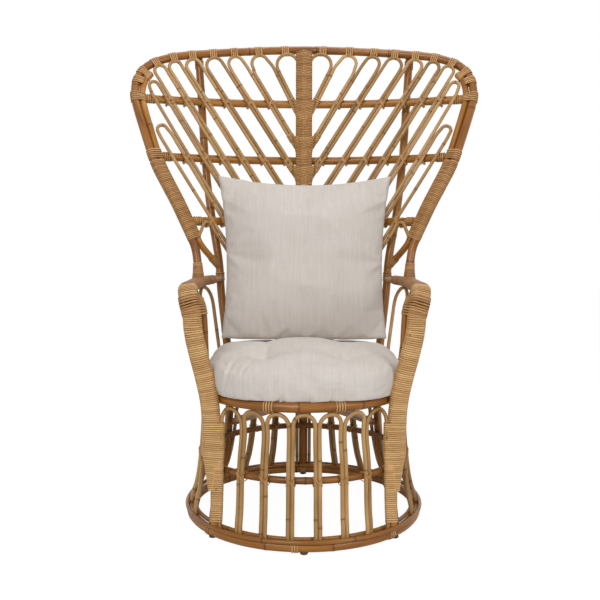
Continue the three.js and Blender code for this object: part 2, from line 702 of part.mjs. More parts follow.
// The bare stay runs from the seat hoop to the inner side of the armrest's bend
function armStayRoute() {
  const apart = (legOver + armStayPole) / 2 + fit;
  const bearing = radians(armStayBearing);
  const beside = arm.shifted(-apart * Math.cos(bearing), apart * Math.sin(bearing))
    .part(bendStart, bendStart + 2).stations;
  const standing = seatRadius + hoopClearance(seatHoopPole, armStayPole);
  const foot = onDrum(radians(armStayAngle), standing, seatHeight - seatHoopPole / 2);
  const stations = [foot, foot.clone().lerp(beside[0], 1 / 2), ...beside];
  return new Route(stations, stations.map(() => point(1, 0, 0)));
}

// Small arches of cane between the seat hoop and the armrest
const armReachAt = smoothTable([...arm.stations.slice(bendStart).map((p) => [p.y, p.x + armGap / 2])]);
const armUnderside = armHeight - legOver / 2 - cane / 2 - fit;
function armArchRoutes() {
  const [firstAngle, lastAngle] = armArchAngles.map(radians);
  const headFrom = armFront + armBend + cane;
  const headTo = armSeat.y - uprightPole - cane;
  const web = (share, rise, aside) => {
    const foot = onDrum(lerp(firstAngle, lastAngle, share) + aside / seatRadius, seatRadius, seatHeight);
    const y = lerp(headFrom, headTo, share) + aside;
    return foot.lerp(point(armReachAt(y), y, armUnderside), rise);
  };
  const apart = (cane + fit) / 2;
  return Array.from({ length: armArchCount }, (_, i) => {
    const [start, end] = [i / armArchCount, (i + 1) / armArchCount];
    const bend = (headTo - headFrom) / armArchCount / 2 - apart;
    const springing = 1 - bend / (armUnderside - seatHeight);
    const over = Array.from({ length: bendSteps + 2 }, (_, step) => {
      const turn = (step / (bendSteps + 1)) * Math.PI;
      const share = (start + end) / 2 - ((end - start) / 2) * Math.cos(turn);
      return web(share, lerp(springing, 1, Math.sin(turn)), apart * Math.cos(turn));
    });
    const stations = [web(start, 0, apart), ...over, web(end, 0, -apart)];
    return new Route(stations, stations.map(outwards));
  });
}

// Braces run from the front of the seat hoop down to the rear uprights
function braceRoute() {
  const front = Math.asin(braceReach / seatRadius);
  const from = onDrum(front, seatRadius, seatHeight - braceDrop);
  const inside = rearRadiusAt(braceHeight) - (uprightPole + bracePole) / 2 - fit;
  const to = onDrum(rearCornerAt(braceHeight), inside, braceHeight);
  const stations = [from, from.clone().lerp(to, 1 / 2), to];
  return new Route(stations, stations.map(() => up));
}

// Seat deck: slats nailed to two cross poles, between the sides of the seat hoop
function seatDeck() {
  const down = up.clone().negate();
  const straight = (from, to, facing) => new Route([from, to], [facing, facing]);
  const slatTop = (cane / 2) * Math.cos(Math.PI / caneSides);
  const slatHeight = seatHeight + seatHoopPole / 2 - slatTop;
  const crossHeight = slatHeight - (cane + deckPole) / 2 + nailSink;
  const slats = Array.from({ length: slatCount }, (_, i) => {
    const x = (i - (slatCount - 1) / 2) * slatSpacing;
    const reach = Math.sqrt(seatRadius ** 2 - x ** 2);
    return pole(straight(point(x, -reach, slatHeight), point(x, reach, slatHeight), down), cane, caneSides);
  });
  const crosses = [-deckPoleReach, deckPoleReach].map((y) => {
    const reach = Math.sqrt(seatRadius ** 2 - y ** 2);
    return pole(straight(point(-reach, y, crossHeight), point(reach, y, crossHeight), up), deckPole);
  });
  return coped(fused([...slats, ...crosses]), [hoop(seatRadius, seatHoopPole, seatHeight, poleSides, fit)]);
}

// Cushions
const softRounds = 14;

// Slides a soft piece along a way until it just clears what it comes to rest on
function rested(solid, way, travel, obstacles) {
  const moved = (distance) => solid.translate(way.clone().multiplyScalar(distance).toArray());
  let [clear, blocked] = [0, travel];
  for (let round = 0; round < softRounds; round += 1) {
    const middle = (clear + blocked) / 2;
    if (moved(middle).intersect(obstacles).isEmpty()) clear = middle;
    else blocked = middle;
  }
  return moved(clear - fit);
}

function seatCushion() {
  const ball = new THREE.SphereGeometry(1, cushionColumns, cushionRows).rotateX(Math.PI / 2);
  const places = ball.attributes.position;
  const tufts = [[-1, -1], [1, -1], [-1, 1], [1, 1]].map(([x, y]) =>
    new THREE.Vector2(x * tuftReach, seatCushionBack + y * tuftReach));
  for (let i = 0; i < places.count; i += 1) {
    const unit = new THREE.Vector3().fromBufferAttribute(places, i);
    const flat = Math.hypot(unit.x, unit.y);
    const square = Math.abs(unit.x) ** cushionSquareness + Math.abs(unit.y) ** cushionSquareness;
    const out = flat > 0 ? flat ** cushionEdgeShare / square ** (1 / cushionSquareness) : 0;
    const x = unit.x * out * seatCushionReach;
    const y = unit.y * out * seatCushionDepth + seatCushionBack;
    const above = cushionSideShare + (1 - cushionSideShare) * unit.z;
    const below = Math.max(0, cushionSideShare * (1 + unit.z / cushionBottomShare));
    const sunk = tufts.reduce((sum, tuft) =>
      sum + tuftDepth * Math.exp(-(tuft.distanceToSquared(new THREE.Vector2(x, y)) / tuftSpread ** 2)), 0);
    const z = unit.z > 0 ? seatCushionHeight * above - sunk * unit.z : seatCushionHeight * below;
    places.setXYZ(i, x, y, seatHeight + seatHoopPole / 2 + fit + z);
  }
  return toSolid(ball);
}

function backPillow() {
  const slab = new THREE.BoxGeometry(1, 1, 1, pillowGrid, 1, pillowGrid);
  const places = slab.attributes.position;
  for (let i = 0; i < places.count; i += 1) {
    const [u, side, w] = [2 * places.getX(i), 2 * places.getY(i), 2 * places.getZ(i)];
    const swell = ((1 - u ** 2) * (1 - w ** 2)) ** pillowSwellShare;
    const draw = (a, b, depth) => a - Math.abs(a) * a * (1 - b ** 2) * (depth / (pillowWidth / 2));
    places.setXYZ(i, (draw(u, w, pillowDraw) * (1 + pillowFlare * w) * pillowWidth) / 2,
      (side * (pillowEdge + (pillowThickness - pillowEdge) * swell)) / 2,
      (draw(w, u, pillowTopDraw) * pillowHeight) / 2);
  }
  slab.rotateX(-radians(pillowLeanAngle)).translate(0, 0, seatHeight + seatCushionHeight + pillowHeight);
  return toSolid(slab);
}

// Room that coped neighbours leave round a pole
const room = (route, diameter) => pole(route, diameter, poleSides, fit);
const sides = [['right', (route) => route], ['left', (route) => route.mirror()]];
const group = new THREE.Group();
const solids = {};
function place(name, solid, [colour, roughness]) {
  const material = new THREE.MeshStandardMaterial({ color: colour, roughness, metalness: 0 });
  const mesh = new THREE.Mesh(toGeometry(solid), material);
  mesh.name = name;
  group.add(mesh);
  solids[name] = solid;
}

place('base_hoop', baseHoop(), finish.pole);
footRings(0).forEach((ring, i) => place(['outer_foot_ring', 'inner_foot_ring'][i], ring, finish.rail));
place('waist_hoop', hoop(waistRadius, waistHoopPole, waistHeight, caneSides), finish.rail);
place('seat_hoop', hoop(seatRadius, seatHoopPole, seatHeight, poleSides), finish.pole);
place('seat_deck', seatDeck(), finish.deck);

const mirrorAt = (angleAt) => (z) => -angleAt(z);
const legRoom = (legOver + cane) / 2 + fit;
const rearRoom = (uprightPole + cane) / 2 + fit;
const spineRoom = (spinePole + cane) / 2 + fit;
const frontRoutes = baseArchRoutes(frontArchCount, mirrorAt(legCaneCornerAt), legCaneCornerAt, 0, 0,
  legCaneEdge);
place('front_arches', joinedArches(frontRoutes), finish.cane);
const sideRoutes = baseArchRoutes(sideArchCount, frontCornerAt, rearCornerAt, legRoom, rearRoom);
const backRoutes = baseArchRoutes(backArchCount, rearCornerAt, () => Math.PI, rearRoom, spineRoom);

const rimRoom = room(rimRoute, rimPole);
const seatHoopRoom = hoop(seatRadius, seatHoopPole, seatHeight, poleSides, fit);
const waistHoopRoom = hoop(waistRadius, waistHoopPole, waistHeight, caneSides, fit);
place('rim_pole', coped(pole(rimRoute, rimPole), sides.map(([, turned]) =>
  armBinding(turned, fit))), finish.pole);
place('spine_pole', coped(pole(spine, spinePole), [...footRoom, rimRoom]), finish.pole);
place('spine_binding', coped(binding(spineBindingRoute, spineBundle), [rimRoom]), finish.binding);
const spineBindingRoom = binding(spineBindingRoute, spineBundle, fit);

function armBinding(turned, grow = 0) {
  return binding(turned(armBindingRoute), turnedBundle(turned, armBundle), grow);
}

// A mirrored route keeps its facing, so its bundle lies across it the other way
function turnedBundle(turned, bundle) {
  const flip = turned(arm) === arm ? 1 : -1;
  return bundle.map(({ at, radius }) => ({ at: new THREE.Vector2(at.x, flip * at.y), radius }));
}

for (const [side, turned] of sides) {
  const upright = turned(rightUpright);
  const uprightRoom = room(upright, uprightPole);
  const wingWrap = (grow) => binding(turned(wingBindingRoute), turnedBundle(turned, wingBundle), grow);
  place(`side_arches_${side}`, joinedArches(sideRoutes.map(turned)), finish.cane);
  place(`back_arches_${side}`, joinedArches(backRoutes.map(turned)), finish.cane);
  place(`rear_upright_${side}`, coped(pole(upright, uprightPole), footRoom), finish.pole);
  place(`seat_brace_${side}`,
    coped(pole(turned(braceRoute()), bracePole), [seatHoopRoom, waistHoopRoom, uprightRoom]), finish.rail);

  const armLeg = pole(turned(arm), legPole, hiddenSides);
  place(`arm_pole_${side}`, coped(armLeg, [...footRoom, uprightRoom]), finish.pole);
  const outerArm = turned(arm.shifted(armGap, 0).part(armLegHeights.indexOf(armPoleFoot)));
  place(`outer_arm_pole_${side}`, coped(pole(outerArm, armPole, hiddenSides), [uprightRoom]), finish.pole);
  const legCaneRoom = pole(turned(frontRoutes.at(-1)), cane, caneSides, fit);
  place(`arm_binding_${side}`, coped(armBinding(turned), [uprightRoom, seatHoopRoom, legCaneRoom]),
    finish.binding);
  place(`leg_binding_${side}`, binding(turned(legBindingRoute()), legBundle), finish.binding);
  place(`arm_stay_${side}`, coped(pole(turned(armStayRoute()), armStayPole), [seatHoopRoom]), finish.pole);
  place(`arm_arches_${side}`, coped(joinedArches(armArchRoutes().map(turned)), [seatHoopRoom]), finish.cane);

  place(`inner_wing_pole_${side}`,
    coped(pole(turned(innerWing), wingPole), [uprightRoom, armBinding(turned, fit)]), finish.pole);
  place(`wing_binding_${side}`, wingWrap(0), finish.binding);
  const innerWingRoom = room(turned(innerWing), wingPole);
  fanRoutes().forEach((route, i) => {
    const ends = [spineBindingRoom, seatHoopRoom, wingWrap(fit), innerWingRoom];
    const inSpine = i === 0 ? [] : ends;
    place(`fan_cane_${side}_${i + 1}`, coped(pole(turned(route), cane, caneSides), inSpine), finish.cane);
  });
}

const railEnds = sides.flatMap(([, turned]) => [
  room(turned(innerWing), wingPole),
  binding(turned(wingBindingRoute), turnedBundle(turned, wingBundle), fit),
]);
const rails = { upper: upperRailHeight, middle: middleRailHeight, lower: lowerRailHeight };
for (const [name, height] of Object.entries(rails)) {
  const route = railRoute(height, reachAt(innerWing, height));
  place(`${name}_rail`, coped(pole(route, railPole), railEnds), finish.rail);
}

place('seat_cushion', seatCushion(), finish.linen);
const behindPillow = fused(Object.entries(solids)
  .filter(([name]) => /cushion|spine|fan_cane|wing|upright|rim/.test(name)).map(([, solid]) => solid));
const dropped = rested(backPillow(), up.clone().negate(), pillowHeight, behindPillow);
place('back_pillow', rested(dropped, point(0, 1, 0), pillowHeight, behindPillow), finish.linen);

// The origin is on the floor, under the middle of the whole chair
const whole = new THREE.Box3().setFromObject(group);
group.position.y = -(whole.min.y + whole.max.y) / 2;

export default group;
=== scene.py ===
# %% [markdown]
# # A peacock chair of bent rattan
#
# The real chair is made of rattan: poles and thin canes are steamed, bent round pegs, nailed together and
# then wound with strips of the cane's own skin. Two loose linen cushions lie in it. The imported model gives
# every piece its place, and this lesson dresses it: round poles with growth rings instead of facets, real
# turns of skin instead of smooth sleeves, crossed ties where canes meet rails, and cushions filled by a
# simulation.

# %% Load the frame
import math
from bisect import bisect_right

import bpy
import numpy as np
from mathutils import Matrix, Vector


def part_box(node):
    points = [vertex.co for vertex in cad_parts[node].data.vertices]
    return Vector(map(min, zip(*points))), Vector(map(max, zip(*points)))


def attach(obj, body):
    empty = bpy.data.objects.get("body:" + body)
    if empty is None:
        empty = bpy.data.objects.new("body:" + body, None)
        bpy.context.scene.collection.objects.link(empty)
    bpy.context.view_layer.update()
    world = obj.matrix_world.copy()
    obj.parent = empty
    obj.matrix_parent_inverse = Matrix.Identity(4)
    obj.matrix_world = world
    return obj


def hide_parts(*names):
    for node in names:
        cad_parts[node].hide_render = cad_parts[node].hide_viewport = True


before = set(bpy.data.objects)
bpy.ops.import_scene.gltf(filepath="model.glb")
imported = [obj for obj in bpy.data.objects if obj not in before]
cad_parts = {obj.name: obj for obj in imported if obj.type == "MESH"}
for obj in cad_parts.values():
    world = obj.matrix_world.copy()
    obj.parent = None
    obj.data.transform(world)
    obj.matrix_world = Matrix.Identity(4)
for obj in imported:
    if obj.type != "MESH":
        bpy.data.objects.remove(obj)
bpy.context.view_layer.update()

print("pieces in the frame:", len(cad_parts))

# %% [markdown]
# The solids were drawn round the upright axis of the drum, and the whole chair was centred afterwards. The
# base hoop is a ring round that axis, so the middle of its box says where the axis is. Every line below is
# worked out round the axis, and moved there when it becomes a mesh.

# %% The axis of the drum
mm = 0.001
hoop_low, hoop_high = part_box("base_hoop")
drum_middle = np.array([0.0, (hoop_low.y + hoop_high.y) / 2, 0.0])
print("drum axis at y =", round(float(drum_middle[1]), 4))

# %% Sizes of poles, canes and bindings
fit = 0.3 * mm
lash_gap = 0.6 * mm
cane = 10 * mm
base_hoop_pole = 25 * mm
foot_ring_pole = 11 * mm
waist_hoop_pole = 18 * mm
seat_hoop_pole = 26 * mm
upright_pole = 25 * mm
spine_pole = 28 * mm
rim_pole = 25 * mm
wing_pole = 20 * mm
rail_pole = 25 * mm
leg_pole = 24 * mm
arm_pole = 18 * mm
arm_stay_pole = 16 * mm
brace_pole = 22 * mm
deck_pole = 20 * mm
skin = 1.5 * mm

drawn_cane = 10.7 * mm

# %% Sizes of the drum
base_radius = 308.5 * mm
waist_radius = 268.5 * mm
waist_height = 166 * mm
seat_radius = 272 * mm
seat_height = 347 * mm
glide_height = 4 * mm
glide_angles = (0, 48, 125, 180, 235, 312)
flare_height, flare_share = 85 * mm, 0.45
front_leg_foot_reach, front_leg_seat_reach = 222 * mm, 226 * mm
front_reach_angle = math.radians(48.3)
leg_cane_foot_angle, leg_cane_head_angle = math.radians(44.4), math.radians(22)
rear_leg_angles = (125, 129, 131.7)
deck_pole_reach = 120 * mm
brace_reach, brace_drop, brace_height = 85 * mm, 8 * mm, 203 * mm

# %% Sizes of the back and arms
back_lean = math.radians(7)
rim_height = 1339 * mm
rim_reach = 511 * mm
rim_setback = 9 * mm
bow_reach, bow_depth = 300 * mm, 200 * mm
arm_height = 624 * mm
arm_bend = 55 * mm
arm_front = -205 * mm
arm_reach = 289 * mm
inner_wing_foot_rise = 31 * mm
fan_foot_rise = 22 * mm
corner_bend, foot_bend, foot_fall = 13 * mm, 11 * mm, 33 * mm

# %% [markdown]
# A bent pole changes smoothly between the few places that are known, so its sizes are kept in short tables of
# a place and a value. A cubic line through a table, with the slope at each row taken from its two neighbours,
# gives the value anywhere between. It is the same rule that drew the solids, so both agree.

# %% Smooth tables
def lerp(start, end, share):
    return start + (end - start) * share


def smooth_table(rows):
    """The value at any place between the rows of a table of places and values."""
    places = [row[0] for row in rows]
    values = [row[1] for row in rows]

    def value_at(place):
        place = min(max(place, places[0]), places[-1])
        high = min(bisect_right(places, place), len(places) - 1)
        low = high - 1
        start, end = places[low], places[high]
        before = (places[low - 1], values[low - 1]) if low > 0 else (end, values[high])
        after = (places[high + 1], values[high + 1]) if high < len(places) - 1 else (start, values[low])
        half = (end - start) / 2
        arriving, leaving = half / (start - before[0]), half / (after[0] - end)
        share = (place - start) / (end - start)
        square, cube = share ** 2, share ** 3
        return (arriving * (2 * square - cube - share) * before[1]
                + ((1 + arriving) * cube - (1.5 + 2 * arriving) * square + (arriving - 0.5) * share + 1) * values[low]
                + ((1.5 + leaving) * square - (1 + leaving) * cube + 0.5 * share) * values[high]
                + leaving * (cube - square) * after[1])

    return value_at


# %% [markdown]
# A bent pole is a centre-line, and at each place on it a direction that it faces, so that a second pole can
# lie beside it and a turn of skin knows which way is out. The stations are known places; `drawn` lays a
# smooth line through them and steps along it evenly, because a tube with even steps bends evenly and shades
# well.

# %% A line with a facing
up = np.array([0.0, 0.0, 1.0])
mirror_x = np.array([-1.0, 1.0, 1.0])


def unit(vectors):
    return vectors / np.maximum(np.linalg.norm(vectors, axis=-1, keepdims=True), 1e-12)


class Line:
    """Stations along a centre-line, each with the way that it faces."""

    def __init__(self, stations, facings):
        self.stations = np.array(stations, dtype=float)
        self.facings = np.array(facings, dtype=float)

    def frames(self):
        steps = unit(np.diff(self.stations, axis=0))
        tangents = unit(np.vstack([steps[:1], steps[:-1] + steps[1:], steps[-1:]]))
        across = np.sum(self.facings * tangents, axis=1, keepdims=True)
        normals = unit(self.facings - across * tangents)
        return tangents, normals, np.cross(tangents, normals)

    def shifted(self, out, across):
        _, normals, sideways = self.frames()
        return Line(self.stations + normals * out + sideways * across, self.facings)

    def part(self, first, last=None):
        return Line(self.stations[first:last], self.facings[first:last])

    def mirrored(self):
        return Line(self.stations * mirror_x, self.facings * mirror_x)

    def lengths(self):
        steps = np.linalg.norm(np.diff(self.stations, axis=0), axis=1)
        return np.concatenate([[0.0], np.cumsum(steps)])

    def at(self, places):
        """The line at some lengths along itself."""
        lengths = self.lengths()
        columns = [np.interp(places, lengths, column)
                   for column in np.hstack([self.stations, self.facings]).T]
        table = np.array(columns).T
        return Line(table[:, :3], unit(table[:, 3:]))

    def drawn(self, step=4 * mm, closed=False):
        """A smooth line through the stations, in even steps."""
        return rounded(self, closed).resampled(step)

    def resampled(self, step):
        length = self.lengths()[-1]
        return self.at(np.linspace(0, length, max(int(round(length / step)), 1) + 1))

    def between(self, start, end, step=4 * mm):
        return self.at(np.linspace(start, end, max(int(round((end - start) / step)), 1) + 1))


def rounded(line, closed=False, pieces=8):
    """Centripetal spline through the stations."""
    rows = np.hstack([line.stations, line.facings])
    if closed:
        rows = np.vstack([rows[-2], rows, rows[1]])
    else:
        rows = np.vstack([2 * rows[0] - rows[1], rows, 2 * rows[-1] - rows[-2]])
    knots = np.concatenate([[0.0], np.cumsum(np.linalg.norm(np.diff(rows[:, :3], axis=0), axis=1) ** 0.5)])
    out = []
    for i in range(1, len(rows) - 2):
        (a, b, c, d), (ta, tb, tc, td) = rows[i - 1:i + 3], knots[i - 1:i + 3]
        for t in np.linspace(tb, tc, pieces, endpoint=False):
            ab, bc, cd = lerp(a, b, (t - ta) / (tb - ta)), lerp(b, c, (t - tb) / (tc - tb)), lerp(c, d, (t - tc) / (td - tc))
            out.append(lerp(lerp(ab, bc, (t - ta) / (tc - ta)), lerp(bc, cd, (t - tb) / (td - tb)),
                            (t - tb) / (tc - tb)))
    out.append(rows[-2])
    out = np.array(out)
    return Line(out[:, :3], unit(out[:, 3:]))


# %% [markdown]
# The camera comes early, so that each step can be looked at. Its place was found from the ellipses of the
# three hoops of the drum: it stands about 2.1 m in front of the chair, a little above the armrests, and looks
# slightly down.

# %% Camera
camera_data = bpy.data.cameras.new("front_view")
camera_data.lens, camera_data.sensor_width = 46.7, 36.0
camera = bpy.data.objects.new("front_view", camera_data)
camera.location = (-0.0115, -2.162, 0.7715)
camera.rotation_euler = (math.radians(90 - 5.14), math.radians(-0.15), 0.0)
bpy.context.scene.collection.objects.link(camera)
bpy.context.scene.camera = camera
print("camera at", tuple(round(c, 3) for c in camera.location))

# %% [markdown]
# ## Helpers for node trees
#
# Materials and Geometry Nodes are both trees of nodes. One small helper adds a node, sets its settings, and
# either fills an input with a value or links it to another node's output.

# %% Node helpers
def add_node(tree, kind, inputs=None, **settings):
    node = tree.nodes.new(kind)
    for name, value in settings.items():
        setattr(node, name, value)
    for key, value in (inputs or {}).items():
        if isinstance(value, bpy.types.NodeSocket):
            tree.links.new(value, node.inputs[key])
        else:
            node.inputs[key].default_value = value
    return node


def new_geometry_tree(name, sockets):
    """A geometry tree with named inputs, its entry node and its exit node."""
    tree = bpy.data.node_groups.new(name, "GeometryNodeTree")
    tree.is_modifier = True
    tree.interface.new_socket("Guide", in_out="INPUT", socket_type="NodeSocketGeometry")
    for title, kind in sockets:
        tree.interface.new_socket(title, in_out="INPUT", socket_type=kind)
    tree.interface.new_socket("Mesh", in_out="OUTPUT", socket_type="NodeSocketGeometry")
    return tree, tree.nodes.new("NodeGroupInput"), tree.nodes.new("NodeGroupOutput")


def grown(name, guide, tree, settings):
    """Runs a geometry tree on a guide mesh once, and returns the result as a plain object."""
    source = bpy.data.objects.new(name + "_guide", guide)
    bpy.context.scene.collection.objects.link(source)
    modifier = source.modifiers.new("grow", "NODES")
    modifier.node_group = tree
    sockets = {item.name: item.identifier for item in tree.interface.items_tree if item.in_out == "INPUT"}
    for title, value in settings.items():
        modifier[sockets[title]] = value
    bpy.context.view_layer.update()
    evaluated = source.evaluated_get(bpy.context.evaluated_depsgraph_get())
    mesh = bpy.data.meshes.new_from_object(evaluated)
    source.modifiers.clear()
    bpy.data.objects.remove(source)
    bpy.data.meshes.remove(guide)
    mesh.name = name
    piece = bpy.data.objects.new(name, mesh)
    bpy.context.scene.collection.objects.link(piece)
    return piece


def guide_mesh(name, lines, extras):
    """One mesh of loose edges along some lines, with a value at every point for each extra."""
    points, edges, start = [], [], 0
    for line in lines:
        points.append(line.stations + drum_middle)
        edges += [(start + i, start + i + 1) for i in range(len(line.stations) - 1)]
        start += len(line.stations)
    mesh = bpy.data.meshes.new(name)
    mesh.from_pydata(np.vstack(points).tolist(), edges, [])
    for title, values in extras.items():
        values = np.concatenate(values)
        kind = "FLOAT" if values.ndim == 1 else "FLOAT_VECTOR"
        layer = mesh.attributes.new(title, kind, "POINT")
        layer.data.foreach_set("value" if values.ndim == 1 else "vector", values.ravel().astype(np.float32))
    return mesh


# %% [markdown]
# ## Rattan as a material
#
# Rattan is a climbing palm. Its stem has fine fibres that run along it, a growth ring every hand's width, and
# patches where the skin is paler or where it has been scorched to bend it. The poles are lacquered to a
# honey-brown shine, and the thin canes keep their olive-tan colour. The pattern must follow the bend, so it
# reads coordinates that each piece carries with it: `grain` is the place on the straightened pole.

# %% Rattan finishes
def blend_colour(tree, share, first, second, mode="MIX"):
    node = add_node(tree, "ShaderNodeMix", data_type="RGBA", blend_type=mode)
    for key, value in ((0, share), (6, first), (7, second)):
        if isinstance(value, bpy.types.NodeSocket):
            tree.links.new(value, node.inputs[key])
        else:
            node.inputs[key].default_value = value
    return node.outputs[2]


def maths(tree, operation, first, second=0.0, clamp=False):
    return add_node(tree, "ShaderNodeMath", {0: first, 1: second}, operation=operation,
                    use_clamp=clamp).outputs[0]


def carried(tree, name, output="Fac"):
    return add_node(tree, "ShaderNodeAttribute", attribute_name=name).outputs[output]


def noise_along(tree, place, scale, detail=2.0, stretch=(1, 1, 1)):
    scaled = add_node(tree, "ShaderNodeMapping", {"Vector": place, "Scale": stretch})
    return add_node(tree, "ShaderNodeTexNoise",
                    {"Vector": scaled.outputs[0], "Scale": scale, "Detail": detail}).outputs[0]


def colour(red, green, blue):
    """A colour as read on a screen, turned into the linear values that a shader wants."""
    linear = [(c / 255 / 12.92) if c <= 10 else ((c / 255 + 0.055) / 1.055) ** 2.4
              for c in (red, green, blue)]
    return (*linear, 1.0)


def rattan_finish(name, shades, ring_shade, roughness, coat):
    """Lacquered rattan: shades runs from the darkest patches to the palest."""
    material = bpy.data.materials.new(name)
    material.use_nodes = True
    tree = material.node_tree
    shader = tree.nodes["Principled BSDF"]
    grain = carried(tree, "grain", "Vector")
    patches = noise_along(tree, grain, 1.0, 3.0, (26, 26, 9))
    fibres = noise_along(tree, grain, 1.0, 3.0, (900, 900, 12))
    streaks = noise_along(tree, grain, 1.0, 2.0, (240, 240, 5))
    value = maths(tree, "ADD", maths(tree, "MULTIPLY", patches, 0.75), maths(tree, "MULTIPLY", streaks, 0.5))
    value = maths(tree, "ADD", value, maths(tree, "MULTIPLY", carried(tree, "tone"), 0.34))
    value = maths(tree, "ADD", value, maths(tree, "MULTIPLY", fibres, 0.22))
    value = maths(tree, "SUBTRACT", value, 0.42)
    ramp = add_node(tree, "ShaderNodeValToRGB", {0: value})
    steps = ramp.color_ramp.elements
    steps[0].position, steps[0].color = 0.0, shades[0]
    steps[1].position, steps[1].color = 1.0, shades[-1]
    for i, shade in enumerate(shades[1:-1], 1):
        steps.new(i / (len(shades) - 1)).color = shade
    ring = maths(tree, "MULTIPLY", carried(tree, "ring"), 0.8, clamp=True)
    tree.links.new(blend_colour(tree, ring, ramp.outputs[0], ring_shade), shader.inputs["Base Color"])
    tree.links.new(maths(tree, "ADD", maths(tree, "MULTIPLY", fibres, 0.3), roughness - 0.15),
                   shader.inputs["Roughness"])
    bump = add_node(tree, "ShaderNodeBump",
                    {"Strength": 0.35, "Distance": 0.0006, "Height": maths(tree, "ADD", fibres, streaks)})
    tree.links.new(bump.outputs[0], shader.inputs["Normal"])
    shader.inputs["Coat Weight"].default_value = coat
    shader.inputs["Coat Roughness"].default_value = 0.12
    shader.inputs["Specular IOR Level"].default_value = 0.2
    return material


pole_shades = [colour(88, 46, 8), colour(146, 90, 28), colour(176, 118, 46), colour(210, 158, 80)]
rail_shades = [colour(80, 42, 8), colour(138, 86, 28), colour(168, 112, 44), colour(202, 150, 76)]
cane_shades = [colour(108, 74, 40), colour(164, 124, 74), colour(194, 154, 100), colour(220, 186, 132)]
finishes = {
    "frame_pole": rattan_finish("honey_lacquered_pole", pole_shades, colour(58, 28, 10), 0.34, 0.4),
    "rail_pole": rattan_finish("dark_lacquered_rail", rail_shades, colour(54, 26, 10), 0.36, 0.35),
    "cane": rattan_finish("tan_cane", cane_shades, colour(84, 46, 20), 0.42, 0.2),
    "deck": rattan_finish("plain_deck_rattan", rail_shades, colour(60, 32, 14), 0.5, 0.1),
}
print("finishes:", ", ".join(finishes))

# %% [markdown]
# ## Poles
#
# A pole could be a cylinder that is bent afterwards, but a swept circle is simpler: the line is already
# there, and the girth can change along it. The tree turns the guide's edges into a curve, sweeps a circle
# whose scale is the girth at each point, and keeps the place on the straightened pole as `grain`.

# %% The tree that sweeps a pole
def make_pole_tree():
    tree, entry, leave = new_geometry_tree(
        "swept_pole", [("Sides", "NodeSocketInt"), ("Finish", "NodeSocketMaterial")])
    curve = add_node(tree, "GeometryNodeMeshToCurve", {"Mesh": entry.outputs["Guide"]})
    circle = add_node(tree, "GeometryNodeCurvePrimitiveCircle",
                      {"Resolution": entry.outputs["Sides"], "Radius": 1.0}, mode="RADIUS")
    place = add_node(tree, "GeometryNodeInputPosition")
    section = add_node(tree, "GeometryNodeStoreNamedAttribute",
                       {"Geometry": circle.outputs["Curve"], "Name": "section", "Value": place.outputs[0]},
                       data_type="FLOAT_VECTOR", domain="POINT")
    girth = add_node(tree, "GeometryNodeInputNamedAttribute", {"Name": "girth"}, data_type="FLOAT").outputs[0]
    tube = add_node(tree, "GeometryNodeCurveToMesh",
                    {"Curve": curve.outputs[0], "Profile Curve": section.outputs[0], "Scale": girth,
                     "Fill Caps": True})
    round_place = add_node(tree, "GeometryNodeInputNamedAttribute", {"Name": "section"},
                           data_type="FLOAT_VECTOR").outputs[0]
    along = add_node(tree, "GeometryNodeInputNamedAttribute", {"Name": "along"}, data_type="FLOAT").outputs[0]
    across = add_node(tree, "ShaderNodeVectorMath", {0: round_place, "Scale": girth},
                      operation="SCALE").outputs[0]
    lifted = add_node(tree, "ShaderNodeCombineXYZ", {"Z": along}).outputs[0]
    grain = add_node(tree, "ShaderNodeVectorMath", {0: across, 1: lifted}, operation="ADD").outputs[0]
    stored = add_node(tree, "GeometryNodeStoreNamedAttribute",
                      {"Geometry": tube.outputs[0], "Name": "grain", "Value": grain},
                      data_type="FLOAT_VECTOR", domain="POINT")
    whole = add_node(tree, "GeometryNodeRealizeInstances", {"Geometry": stored.outputs[0]})
    smooth = add_node(tree, "GeometryNodeSetShadeSmooth", {"Geometry": whole.outputs[0]})
    painted = add_node(tree, "GeometryNodeSetMaterial",
                       {"Geometry": smooth.outputs[0], "Material": entry.outputs["Finish"]})
    tree.links.new(painted.outputs[0], leave.inputs["Mesh"])
    return tree


pole_tree = make_pole_tree()

# %% [markdown]
# No two canes are alike. Growth rings come every 15 to 30 cm, each a low collar with a dark line; each pole
# also has its own tone, and its girth wavers a little. A fixed seed keeps all of it the same in every run.

# %% Growth rings, tone and girth
growth = np.random.default_rng(11)
ring_spacing = (150 * mm, 300 * mm)
ring_width = 2.2 * mm
collar_width = 6 * mm
collar_rise = 0.05


def with_growth(line, diameter, step, tone=None):
    """A drawn line, with extra steps at its growth rings, and its girth, rings, tone and place along."""
    length = line.lengths()[-1]
    rings, place = [], growth.uniform(20 * mm, ring_spacing[1])
    while place < length:
        rings.append(place)
        place += growth.uniform(*ring_spacing)
    steps = np.linspace(0, length, max(int(round(length / step)), 2) + 1)
    close = [ring + offset * ring_width for ring in rings for offset in (-4, -2, -1, 0, 1, 2, 4)]
    places = np.unique(np.clip(np.concatenate([steps, close]), 0, length))
    places = places[np.concatenate([[True], np.diff(places) > 0.4 * mm])]
    nearest = np.min(np.abs(places[:, None] - np.array(rings)[None, :]),
                     axis=1) if rings else np.full(len(places), 1.0)
    wave = 0.012 * np.sin(places / (60 * mm) + growth.uniform(0, math.tau))
    girth = diameter / 2 * (1 - collar_rise / 2 + wave + collar_rise * np.exp(-(nearest / collar_width) ** 2))
    ring = np.exp(-(nearest / ring_width) ** 2)
    own_tone = growth.uniform(0, 1) if tone is None else tone
    values = {"girth": girth, "ring": ring, "tone": np.full(len(places), own_tone),
              "along": places + growth.uniform(0, 20)}
    return line.at(places), values


